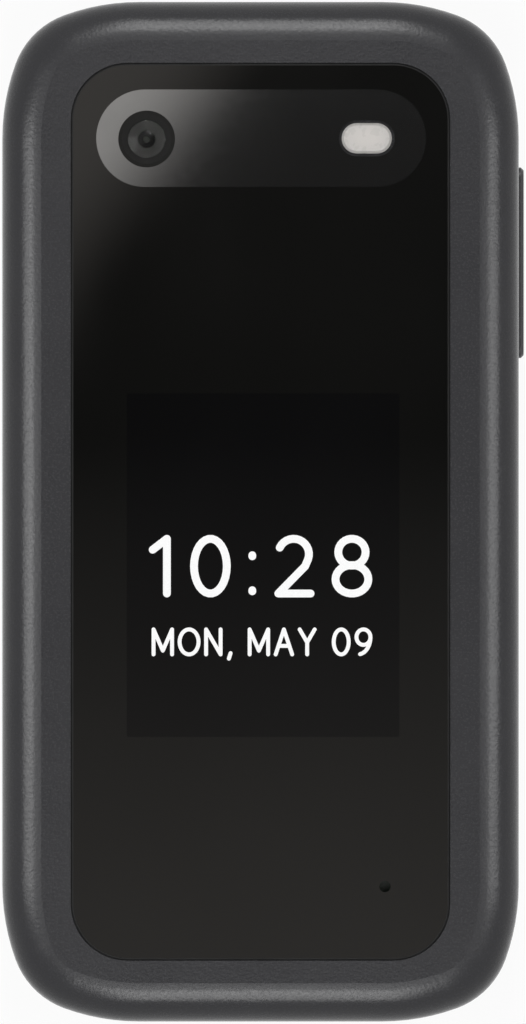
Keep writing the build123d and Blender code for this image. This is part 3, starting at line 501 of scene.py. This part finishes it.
def bowl(cx, cy, rx, ry, foot):
    """A letter's stem and the bowl at its top, which comes back to the stem at height foot."""
    return [(0.0, 0.0), (0.0, 1.0), (cx, 1.0)] + ellipse(cx, cy, rx, ry, 90, -90) + [(0.0, foot)]


# Each sign as its width and its strokes, on a line 1 high
SIGNS = {
    "0": (0.60, [ellipse(0.30, 0.50, 0.30, 0.50)]),
    "1": (0.30, [[(0.0, 0.80), (0.26, 1.0), (0.26, 0.0)]]),
    "2": (0.60, [ellipse(0.29, 0.72, 0.28, 0.28, 155, -20) + [(0.50, 0.50), (0.01, 0.0)],
                 [(0.01, 0.0), (0.60, 0.0)]]),
    "3": (0.60, [ellipse(0.28, 0.755, 0.26, 0.245, 140, -90),
                 ellipse(0.26, 0.255, 0.32, 0.255, 90, -145)]),
    "4": (0.64, [[(0.46, 0.0), (0.46, 1.0), (0.0, 0.28), (0.64, 0.28)]]),
    "5": (0.58, [[(0.52, 1.0), (0.10, 1.0), (0.06, 0.56)],
                 [(0.06, 0.56)] + ellipse(0.26, 0.32, 0.31, 0.32, 100, -140)]),
    "6": (0.60, [ellipse(0.31, 0.31, 0.28, 0.31), ellipse(0.53, 0.31, 0.50, 0.69, 180, 100)]),
    "7": (0.58, [[(0.0, 1.0), (0.58, 1.0), (0.20, 0.0)]]),
    "8": (0.60, [ellipse(0.30, 0.755, 0.25, 0.245), ellipse(0.30, 0.26, 0.30, 0.26)]),
    "9": (0.60, [ellipse(0.29, 0.69, 0.28, 0.31), ellipse(0.07, 0.69, 0.50, 0.69, 0, -80)]),
    ":": (0.02, [[(0.01, 0.68), (0.01, 0.70)], [(0.01, 0.04), (0.01, 0.06)]]),
    ",": (0.10, [[(0.10, 0.05), (0.03, -0.17)]]),
    " ": (0.16, []),
    "+": (0.60, [[(0.0, 0.5), (0.6, 0.5)], [(0.3, 0.2), (0.3, 0.8)]]),
    "*": (0.60, [[(0.30 - 0.30 * cos(radians(a)), 0.5 - 0.30 * sin(radians(a))),
                  (0.30 + 0.30 * cos(radians(a)), 0.5 + 0.30 * sin(radians(a)))] for a in (30, 90, 150)]),
    "#": (0.70, [[(0.20, 0.05), (0.30, 0.95)], [(0.45, 0.05), (0.55, 0.95)],
                 [(0.02, 0.35), (0.68, 0.35)], [(0.06, 0.68), (0.72, 0.68)]]),
    "A": (0.66, [[(0.0, 0.0), (0.33, 1.0), (0.66, 0.0)], [(0.12, 0.34), (0.54, 0.34)]]),
    "B": (0.54, [bowl(0.22, 0.76, 0.26, 0.24, 0.52),
                 [(0.22, 0.52)] + ellipse(0.24, 0.26, 0.30, 0.26, 90, -90) + [(0.0, 0.0)]]),
    "C": (0.62, [ellipse(0.40, 0.50, 0.40, 0.50, 55, 305)]),
    "D": (0.62, [bowl(0.18, 0.50, 0.44, 0.50, 0.0)]),
    "E": (0.44, [[(0.44, 1.0), (0.0, 1.0), (0.0, 0.0), (0.44, 0.0)], [(0.0, 0.52), (0.40, 0.52)]]),
    "F": (0.42, [[(0.42, 1.0), (0.0, 1.0), (0.0, 0.0)], [(0.0, 0.50), (0.38, 0.50)]]),
    "G": (0.66, [ellipse(0.42, 0.50, 0.42, 0.50, 55, 330) + [(0.66, 0.46), (0.40, 0.46)]]),
    "H": (0.58, [[(0.0, 0.0), (0.0, 1.0)], [(0.58, 0.0), (0.58, 1.0)], [(0.0, 0.52), (0.58, 0.52)]]),
    "I": (0.02, [[(0.01, 0.0), (0.01, 1.0)]]),
    "J": (0.22, [[(0.22, 1.0), (0.22, 0.05)] + ellipse(0.02, 0.02, 0.20, 0.24, 0, -95)]),
    "K": (0.52, [[(0.0, 0.0), (0.0, 1.0)], [(0.52, 1.0), (0.0, 0.45)], [(0.16, 0.60), (0.54, 0.0)]]),
    "L": (0.42, [[(0.0, 1.0), (0.0, 0.0), (0.42, 0.0)]]),
    "M": (0.74, [[(0.0, 0.0), (0.0, 1.0), (0.37, 0.15), (0.74, 1.0), (0.74, 0.0)]]),
    "N": (0.58, [[(0.0, 0.0), (0.0, 1.0), (0.58, 0.0), (0.58, 1.0)]]),
    "O": (0.76, [ellipse(0.38, 0.50, 0.38, 0.50)]),
    "P": (0.50, [bowl(0.22, 0.73, 0.28, 0.27, 0.46)]),
    "Q": (0.76, [ellipse(0.38, 0.50, 0.38, 0.50), [(0.46, 0.14), (0.70, -0.12)]]),
    "R": (0.52, [bowl(0.22, 0.75, 0.26, 0.25, 0.50), [(0.24, 0.50), (0.54, 0.0)]]),
    "S": (0.50, [ellipse(0.26, 0.75, 0.23, 0.25, 40, 260) + ellipse(0.24, 0.25, 0.26, 0.26, 85, -145)]),
    "T": (0.54, [[(0.0, 1.0), (0.54, 1.0)], [(0.27, 1.0), (0.27, 0.0)]]),
    "U": (0.56, [[(0.0, 1.0), (0.0, 0.32)] + ellipse(0.28, 0.30, 0.28, 0.30, 180, 360)
                 + [(0.56, 0.32), (0.56, 1.0)]]),
    "V": (0.62, [[(0.0, 1.0), (0.31, 0.0), (0.62, 1.0)]]),
    "W": (0.90, [[(0.0, 1.0), (0.22, 0.0), (0.45, 0.95), (0.68, 0.0), (0.90, 1.0)]]),
    "X": (0.56, [[(0.0, 0.0), (0.56, 1.0)], [(0.0, 1.0), (0.56, 0.0)]]),
    "Y": (0.60, [[(0.0, 1.0), (0.30, 0.48), (0.60, 1.0)], [(0.30, 0.48), (0.30, 0.0)]]),
    "Z": (0.54, [[(0.0, 1.0), (0.54, 1.0), (0.0, 0.0), (0.54, 0.0)]]),
}


def runs(path):
    """Cuts a path where it turns sharply."""
    sharp = radians(35)
    cut = [path[0]]
    for before, here, after in zip(path, path[1:], path[2:]):
        cut.append(here)
        if (here - before).angle(after - here) > sharp:
            yield cut
            cut = [here]
    yield cut + [path[-1]]


def apart(a, b, half):
    """Whether two points of a stroke that is half wide on each side count as two."""
    return (b - a).length > half / 25


def ribbon(run, half):
    """The quads of one smooth run, mitred where it bends."""
    closed = not apart(run[0], run[-1], half)
    ways = [(b - a).normalized() for a, b in zip(run, run[1:])]
    before = [ways[-1] if closed else ways[0]] + ways
    after = ways + [ways[0] if closed else ways[-1]]
    left, right = [], []
    for point, way_in, way_out in zip(run, before, after):
        mean = (way_in + way_out).normalized()
        out = Vector((-mean.y, mean.x)) * half / mean.dot(way_in)
        left.append(point + out)
        right.append(point - out)
    return [[right[i], right[i + 1], left[i + 1], left[i]] for i in range(len(ways))]


def round_end(end, half):
    """The cap of a stroke that is half wide on each side."""
    points = 16
    return [Vector(p) for p in arc(*end, half, half, 0, 360 - 360 / points, points - 1)]


def strokes(paths, width, thick=PROUD):
    """Flat strokes of one width with round ends and corners, standing thick above z = 0."""
    half = width / 2 / MM
    shapes = []
    for path in paths:
        points = [Vector(p) / MM for p in path]
        points = points[:1] + [b for a, b in zip(points, points[1:]) if apart(a, b, half)]
        for run in runs(points):
            shapes += ribbon(run, half)
            shapes += [round_end(end, half) for end in (run[0], run[-1])]
    points = [p for shape in shapes for p in shape]
    starts = [sum(len(s) for s in shapes[:i]) for i in range(len(shapes))]
    faces = [list(range(start, start + len(shape))) for start, shape in zip(starts, shapes)]
    # The outlines of all shapes cut one flat net; a face of it that no shape covers is dropped
    inside_only, merge_within = 1, 1e-5
    points, _, faces, _, _, origins = delaunay_2d_cdt(points, [], faces, inside_only, merge_within)
    bm = bmesh.new()
    corners = [bm.verts.new((*p * MM, 0)) for p in points]
    for face, origin in zip(faces, origins):
        if origin:
            bm.faces.new([corners[i] for i in face])
    bmesh.ops.dissolve_limit(bm, angle_limit=0.01, verts=bm.verts, edges=bm.edges)
    solid = bmesh.ops.extrude_face_region(bm, geom=bm.faces)
    raised = [v for v in solid["geom"] if isinstance(v, bmesh.types.BMVert)]
    bmesh.ops.translate(bm, vec=(0, 0, thick), verts=raised)
    bmesh.ops.delete(bm, geom=[v for v in bm.verts if not v.link_faces], context="VERTS")
    bmesh.ops.recalc_face_normals(bm, faces=bm.faces)
    return finished(bm, "strokes")


def lettering(text, height, weight, width=None):
    """Text centred on 0,0, height tall over its strokes; width squeezes or spreads its gaps."""
    tall = height - weight
    spans = [SIGNS[c][0] * tall for c in text]
    space = 0.24 * tall
    if width:
        space = (width - weight - sum(spans)) / (len(text) - 1)
    x = -(sum(spans) + space * (len(text) - 1)) / 2
    paths = []
    for c, span in zip(text, spans):
        paths += [[(x + px * tall, (py - 0.5) * tall) for px, py in path] for path in SIGNS[c][1]]
        x += span + space
    return strokes(paths, weight)


# ---------------------------------------------------------------- outer display, window and camera

# The outer display's middle and size, seen through the window
SHOW_X, SHOW_Y = 0.27 * MM, -5.64 * MM
SHOW_W, SHOW_H = 28.8 * MM, 36.3 * MM
# The radius of the window's corners
WINDOW_R = 6.0 * MM
# A plain clock readout, the same on both displays
CLOCK, CALENDAR = "10:28", "MON, MAY 09"


def outer_display():
    """The dark panel behind the window, and the lit time and date on it."""
    panel = plate([round_rect(SHOW_W, SHOW_H, 0.2 * MM, SHOW_X, SHOW_Y, 3)], TOP, TOP + PROUD)
    piece("outer_display_view", panel, "lid", MATS["display_glass"], smooth=False)
    for name, text, height, weight, width, x, y in (
        ("outer_display_time", CLOCK, 6.60 * MM, 0.82 * MM, 23.6 * MM, 0.0, -5.75 * MM),
        ("outer_display_date", CALENDAR, 3.05 * MM, 0.41 * MM, 23.4 * MM, 0.2 * MM, -13.75 * MM),
    ):
        mesh = move(lettering(text, height, weight, width), x, y, TOP + PROUD)
        piece(name, mesh, "lid", WHITE_PIXELS, smooth=False)


def window_edge():
    """The ground bevel round the window, a hair over the CAD's own."""
    bevel, lift = 0.25 * MM, 0.003 * MM
    at = middle("lid_window")
    low_corner, high_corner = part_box("lid_window")
    size = high_corner - low_corner
    bm = bmesh.new()
    loops = []
    for inset, z in ((-lift, TOP - bevel), (bevel - lift, TOP)):
        outline = round_rect(size.x - 2 * inset, size.y - 2 * inset, WINDOW_R - inset, at.x, at.y, 24)
        loops.append([bm.verts.new((x, y, z)) for x, y in outline])
    low, high = loops
    for i in range(len(low)):
        j = (i + 1) % len(low)
        bm.faces.new((low[i], low[j], high[j], high[i]))
    piece("window_edge", finished(bm, "window_edge"), "lid", ground_edge())


def camera():
    """A domed front glass over a stepped dark barrel with a small aperture."""
    at = middle("camera_lens")
    low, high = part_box("camera_lens")
    r = (high.x - low.x) / 2
    z = high.z
    bend, skirt = 13.2 * MM, 0.35 * MM
    dome = [(r, low.z + skirt)]
    for share in (1, 0.99, 0.9, 0.8, 0.7, 0.6, 0.5, 0.4, 0.3, 0.2, 0.1, 0):
        dome.append((r * share, z - bend + sqrt(bend ** 2 - (r * share) ** 2)))
    glass = piece("camera_front_glass", lathe(dome, at), "lid", MATS["optic_glass"])
    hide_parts("camera_lens")
    # Turned pieces below the glass, as (radius, depth below its top) points in mm
    for name, material, points in (
        ("camera_barrel", BARREL, [(r / MM, 0.20), (1.80, 0.22), (1.72, 0.30), (1.30, 0.32),
                                   (1.24, 0.38), (1.00, 0.39), (0.95, 0.43), (0, 0.43)]),
        ("camera_iris", IRIS, [(0.92, 0.42), (0.88, 0.40), (0.45, 0.39), (0.40, 0.41), (0, 0.41)]),
        ("camera_inner_lens", INNER_LENS, [(0.38, 0.40), (0.33, 0.37), (0.24, 0.35), (0.12, 0.34),
                                           (0, 0.34)]),
    ):
        profile = [(across * MM, z - deep * MM) for across, deep in points]
        piece(name, lathe(profile, at), "lid", material)


outer_display()
window_edge()
camera()


# ---------------------------------------------------------------- keypad

NUMBER_KEYS = ["key_1", "key_2", "key_3", "key_4", "key_5", "key_6", "key_7", "key_8", "key_9",
               "key_star", "key_0", "key_hash"]
DIGITS = "123456789*0#"
LETTERS = ["", "ABC", "DEF", "GHI", "JKL", "MNO", "PQRS", "TUV", "WXYZ", "", "+", ""]


def legend(name, text, height, x, y, body):
    """White characters on a key's top."""
    weight = 0.13 * height
    mesh = move(lettering(text, height, weight), x, y, KEY_TOP)
    piece(name, mesh, body, KEY_INK, smooth=False)


def key_legends():
    """A digit on each number key, left of its letters or alone in the middle."""
    aside, digit_h, letters_h = 2.6 * MM, 3.5 * MM, 1.4 * MM
    for node, digit, letters in zip(NUMBER_KEYS, DIGITS, LETTERS):
        at = middle(node)
        legend(f"{node}_digit", digit, digit_h, at.x - (aside if letters else 0), at.y, node)
        if letters:
            legend(f"{node}_letters", letters, letters_h, at.x + aside, at.y, node)


def mark(name, paths, width, body, ink, thick=PROUD):
    """Printed strokes on a key's top."""
    mesh = move(strokes(paths, width, thick), 0, 0, KEY_TOP)
    piece(name, mesh, body, ink, smooth=False)


def handset(x, y, r, up):
    """A telephone handset about x, y, as a bow and its two ends, which point up for 1 or down for -1."""
    half_turn, end_l = 70, 0.5 * MM
    centre_y = y + up * r * (1 + cos(radians(half_turn))) / 2
    bow = arc(x, centre_y, r, r, -90 * up - half_turn, -90 * up + half_turn)
    ends = []
    for end, before in ((bow[0], bow[1]), (bow[-1], bow[-2])):
        way = (Vector(end) - Vector(before)).normalized()
        ends.append([end, Vector(end) + way * end_l])
    return bow, ends


def outward(node):
    """A point towards the keypad's side from a wide key's middle, clear of the ring."""
    aside = 2.0 * MM
    at = middle(node)
    return at.x + (aside if at.x > 0 else -aside), at.y


def key_marks():
    """Green and red handsets, a bar on each soft key and four arrowheads on the ring."""
    for node, ink, up in (("call_key", GREEN_INK, 1), ("end_key", RED_INK, -1)):
        bow, ends = handset(*outward(node), 2.0 * MM, up)
        mark(f"{node}_bow", [bow], 0.5 * MM, node, ink)
        # Thicker than the bow, so that the two never share a face
        mark(f"{node}_ends", ends, 1.1 * MM, node, ink, thick=1.5 * PROUD)
    bar_half, bar_up = 1.8 * MM, 0.8 * MM
    for node in ("soft_key_left", "soft_key_right"):
        x, y = outward(node)
        bar = [(x - bar_half, y + bar_up), (x + bar_half, y + bar_up)]
        mark(f"{node}_bar", [bar], 0.5 * MM, node, KEY_INK)
    ring = middle("nav_ring").xy
    tip_out, tip_back, tip_half = 10.2 * MM, 0.8 * MM, 0.9 * MM
    tips = []
    for i in range(4):
        a = radians(90 * i)
        out, across = Vector((cos(a), sin(a))), Vector((-sin(a), cos(a)))
        tip = ring + out * tip_out
        back = tip - out * tip_back
        tips.append([back + across * tip_half, tip, back - across * tip_half])
    mark("nav_ring_arrows", tips, 0.3 * MM, "nav_ring", KEY_INK)


key_legends()
key_marks()


# ---------------------------------------------------------------- inner display

# The lit screen's size, and how far its middle lies from the lid's
VIEW_W, VIEW_H = 43.2 * MM, 57.6 * MM
VIEW_Y = -2.5 * MM
# Each layer of the screen stands this much lower than the one it lies on
LAYER = 0.003 * MM


def layer(name, outlines, material, number):
    """A thin flat layer of the screen, counted from the glass down."""
    low = INNER_GLASS - number * LAYER
    mesh = plate(outlines, low, low + LAYER)
    piece(name, mesh, "lid", material, smooth=False)


def inner_display():
    """The lit home screen, seen on the lid's inner face when the phone is open.

    The lid turns over as it opens, so the screen's top is the end of it at low Y.
    """
    layer("inner_display_view", [round_rect(VIEW_W, VIEW_H, 0.3 * MM, 0, VIEW_Y, 3)], SCREEN, 1)
    bar_h = 4.4 * MM
    bar_out = (VIEW_H - bar_h) / 2
    bars = [round_rect(VIEW_W, bar_h, 0.1 * MM, 0, VIEW_Y + y, 2) for y in (-bar_out, bar_out)]
    layer("inner_display_bars", bars, SCREEN_BAR, 2)
    step_w, pitch, first_x = 0.7 * MM, 1.0 * MM, 16.5 * MM
    foot = VIEW_Y - VIEW_H / 2 + 3.2 * MM
    steps = []
    for i, tall in enumerate((0.7 * MM, 1.2 * MM, 1.7 * MM, 2.2 * MM)):
        steps.append(round_rect(step_w, tall, 0.1 * MM, first_x + i * pitch, foot - tall / 2, 2))
    cell = round_rect(3.2 * MM, 1.6 * MM, 0.3 * MM, -18.6 * MM, VIEW_Y - bar_out, 3)
    layer("inner_display_icons", [*steps, cell], WHITE_PIXELS, 3)
    for name, text, tall, y in (
        ("inner_display_time", CLOCK, 8.0 * MM, 10.5 * MM),
        ("inner_display_date", CALENDAR, 2.6 * MM, 3.0 * MM),
    ):
        mesh = lettering(text, tall, 0.11 * tall)
        mesh.transform(Matrix.Rotation(pi, 4, "X"))
        move(mesh, 0, VIEW_Y - y, INNER_GLASS - 3 * LAYER)
        piece(name, mesh, "lid", WHITE_PIXELS, smooth=False)


def screen_glow():
    """A lit picture that runs from deep blue to a paler blue down the screen."""
    top_y, foot_y = VIEW_Y - VIEW_H / 2, VIEW_Y + VIEW_H / 2
    deep_blue, pale_blue = (0.004, 0.022, 0.08), (0.02, 0.11, 0.17)
    m = Nodes("screen_glow")
    m.set(color=(0.01, 0.01, 0.012), rough=0.12, glow=(0.01, 0.05, 0.10), glow_strength=1.0)
    split = m.add("ShaderNodeSeparateXYZ")
    m.link(m.where(), split.inputs[0])
    along = m.between(split.outputs["Y"], 0.0, 1.0, top_y, foot_y)
    wave = m.noise(22 * MM, 1.0, (1, 0.6, 1))
    blend = m.add("ShaderNodeMath", operation="MULTIPLY_ADD")
    blend.inputs[1].default_value = 0.7
    m.link(wave, blend.inputs[0])
    m.link(along, blend.inputs[2])
    share = m.between(blend.outputs[0], 0, 1, 0.2, 1.5)
    m.use("Emission Color", m.tint(share, deep_blue, pale_blue))
    return m.material


SCREEN = screen_glow()
SCREEN_BAR = glowing("screen_bar", (0.004, 0.012, 0.03), 1.0)
inner_display()


# ---------------------------------------------------------------- camera, lights, floor

LENS_MM, SENSOR_MM = 497.3, 36.0
# Where the camera stands, 1.5 m above a level within the phone's thickness
EYE = (0.265 * MM, -0.03 * MM, 1.5 + 13 * MM)


def shot():
    """A camera that looks straight down, as the photo's does."""
    data = bpy.data.cameras.new("camera")
    data.lens = LENS_MM
    data.sensor_width = SENSOR_MM
    data.clip_start = 0.05
    data.clip_end = 20.0
    camera_object = bpy.data.objects.new("camera", data)
    camera_object.location = EYE
    bpy.context.scene.collection.objects.link(camera_object)
    bpy.context.scene.camera = camera_object


def softbox(name, azimuth, tilt, distance, width, height, radiance):
    """An area lamp of that radiance that faces the phone, unseen by the camera."""
    aim = Vector((0, 0, 0.012))
    data = bpy.data.lights.new(name, "AREA")
    data.shape = "RECTANGLE"
    data.size = width
    data.size_y = height
    data.energy = radiance * pi * width * height
    lamp = bpy.data.objects.new(name, data)
    a, t = radians(azimuth), radians(tilt)
    out = Vector((cos(a) * sin(t), sin(a) * sin(t), cos(t)))
    lamp.location = aim + out * distance
    lamp.rotation_mode = "QUATERNION"
    lamp.rotation_quaternion = out.to_track_quat("Z", "Y")
    lamp.visible_camera = False
    bpy.context.scene.collection.objects.link(lamp)


def lights():
    """Two strip lights over each side, the inner one dimmer, and a small one for the lens."""
    away, length, outer_w, inner_w, inner_tilt = 0.60, 0.30, 0.13, 0.15, 15
    pin_away, pin_side, pin_radiance = 0.44, 0.016, 30.0
    for name, azimuth, tilt, radiance, inner_share in (
        ("right", 0, 43, 5.8, 0.28),
        ("left", 180, 40, 6.6, 0.37),
        ("top", 90, 50, 7.4, 0.28),
        ("bottom", 270, 41, 6.7, 0.40),
    ):
        inner = inner_share * radiance
        softbox(f"softbox_{name}", azimuth, tilt, away, outer_w, length, radiance)
        softbox(f"softbox_{name}_inner", azimuth, tilt - inner_tilt, away, inner_w, length, inner)
    softbox("pin_light", 90, 13, pin_away, pin_side, pin_side, pin_radiance)


def overhead_glow():
    """Dim over the hinge end, brighter over the other, with a lamp's glow across one corner."""
    bright, bright_y = 0.50, -0.062
    dim, dim_y = 0.03, 0.010
    spill, spill_slope, spill_full, spill_end = 0.78, -0.71, -0.062, -0.042
    m = Nodes("overhead")
    m.tree.nodes.remove(m.shader)
    split = m.add("ShaderNodeSeparateXYZ")
    m.link(m.where(), split.inputs[0])
    along = m.between(split.outputs["Y"], bright, dim, bright_y, dim_y)
    slant = m.add("ShaderNodeMath", operation="MULTIPLY_ADD")
    slant.inputs[1].default_value = spill_slope
    m.link(split.outputs["Y"], slant.inputs[0])
    m.link(split.outputs["X"], slant.inputs[2])
    corner = m.between(slant.outputs[0], spill, 0.0, spill_full, spill_end)
    corner.node.interpolation_type = "SMOOTHSTEP"
    both = m.add("ShaderNodeMath", operation="ADD")
    m.link(along, both.inputs[0])
    m.link(corner, both.inputs[1])
    glow = m.add("ShaderNodeEmission")
    glow.inputs["Color"].default_value = (1.04, 0.98, 0.92, 1)
    m.link(both.outputs[0], glow.inputs["Strength"])
    m.link(glow.outputs[0], m.output.inputs["Surface"])
    return m.material


def overhead_card():
    """The small dark card round the camera, which the level glass and strip mirror.

    Only gloss sees it.
    """
    width, length, corner, thick, height = 0.10, 0.15, 0.01, 0.001, 0.5
    item = bpy.data.objects.new("overhead_card", plate([round_rect(width, length, corner)], 0, thick))
    item.data.materials.append(overhead_glow())
    item.matrix_world = Matrix.Translation((0, 0, height))
    bpy.context.scene.collection.objects.link(item)
    for ray in ("camera", "diffuse", "shadow", "transmission"):
        setattr(item, f"visible_{ray}", False)


def seen_by_eye(tree):
    """1 for a ray from the camera, off gloss or through glass, and 0 for one that lights a matt face."""
    path = tree.nodes.new("ShaderNodeLightPath")
    seen = path.outputs["Is Camera Ray"]
    for ray in ("Is Glossy Ray", "Is Transmission Ray"):
        either = tree.nodes.new("ShaderNodeMath")
        either.operation = "MAXIMUM"
        tree.links.new(seen, either.inputs[0])
        tree.links.new(path.outputs[ray], either.inputs[1])
        seen = either.outputs[0]
    return seen


def pale_floor():
    """White to the eye, to gloss and through glass, with the shadow of the phone kept faintly."""
    side, corner, thick, white_share = 8, 0.5, 0.05, 0.92
    m = Nodes("floor")
    m.tree.nodes.remove(m.shader)
    matt = m.add("ShaderNodeBsdfDiffuse")
    matt.inputs["Color"].default_value = (0.8, 0.8, 0.8, 1)
    glow = m.add("ShaderNodeEmission")
    share = m.add("ShaderNodeMath", operation="MULTIPLY")
    share.inputs[1].default_value = white_share
    m.link(seen_by_eye(m.tree), share.inputs[0])
    mix = m.add("ShaderNodeMixShader")
    m.link(share.outputs[0], mix.inputs[0])
    m.link(matt.outputs[0], mix.inputs[1])
    m.link(glow.outputs[0], mix.inputs[2])
    m.link(mix.outputs[0], m.output.inputs["Surface"])
    floor = bpy.data.objects.new("floor", plate([round_rect(side, side, corner)], -thick, 0))
    floor.data.materials.append(m.material)
    bpy.context.scene.collection.objects.link(floor)


def backdrop():
    """The world: white to the eye, to gloss and through glass, and a dim fill for the rest."""
    fill, white = 0.2, 1.0
    world = bpy.data.worlds.new("world")
    bpy.context.scene.world = world
    world.use_nodes = True
    tree = world.node_tree
    background = tree.nodes["Background"]
    strength = tree.nodes.new("ShaderNodeMapRange")
    strength.inputs["To Min"].default_value = fill
    strength.inputs["To Max"].default_value = white
    tree.links.new(seen_by_eye(tree), strength.inputs["Value"])
    tree.links.new(strength.outputs[0], background.inputs["Strength"])
    background.inputs["Color"].default_value = (1, 1, 1, 1)


shot()
lights()
overhead_card()
pale_floor()
backdrop()
bpy.context.scene.view_settings.view_transform = "Standard"
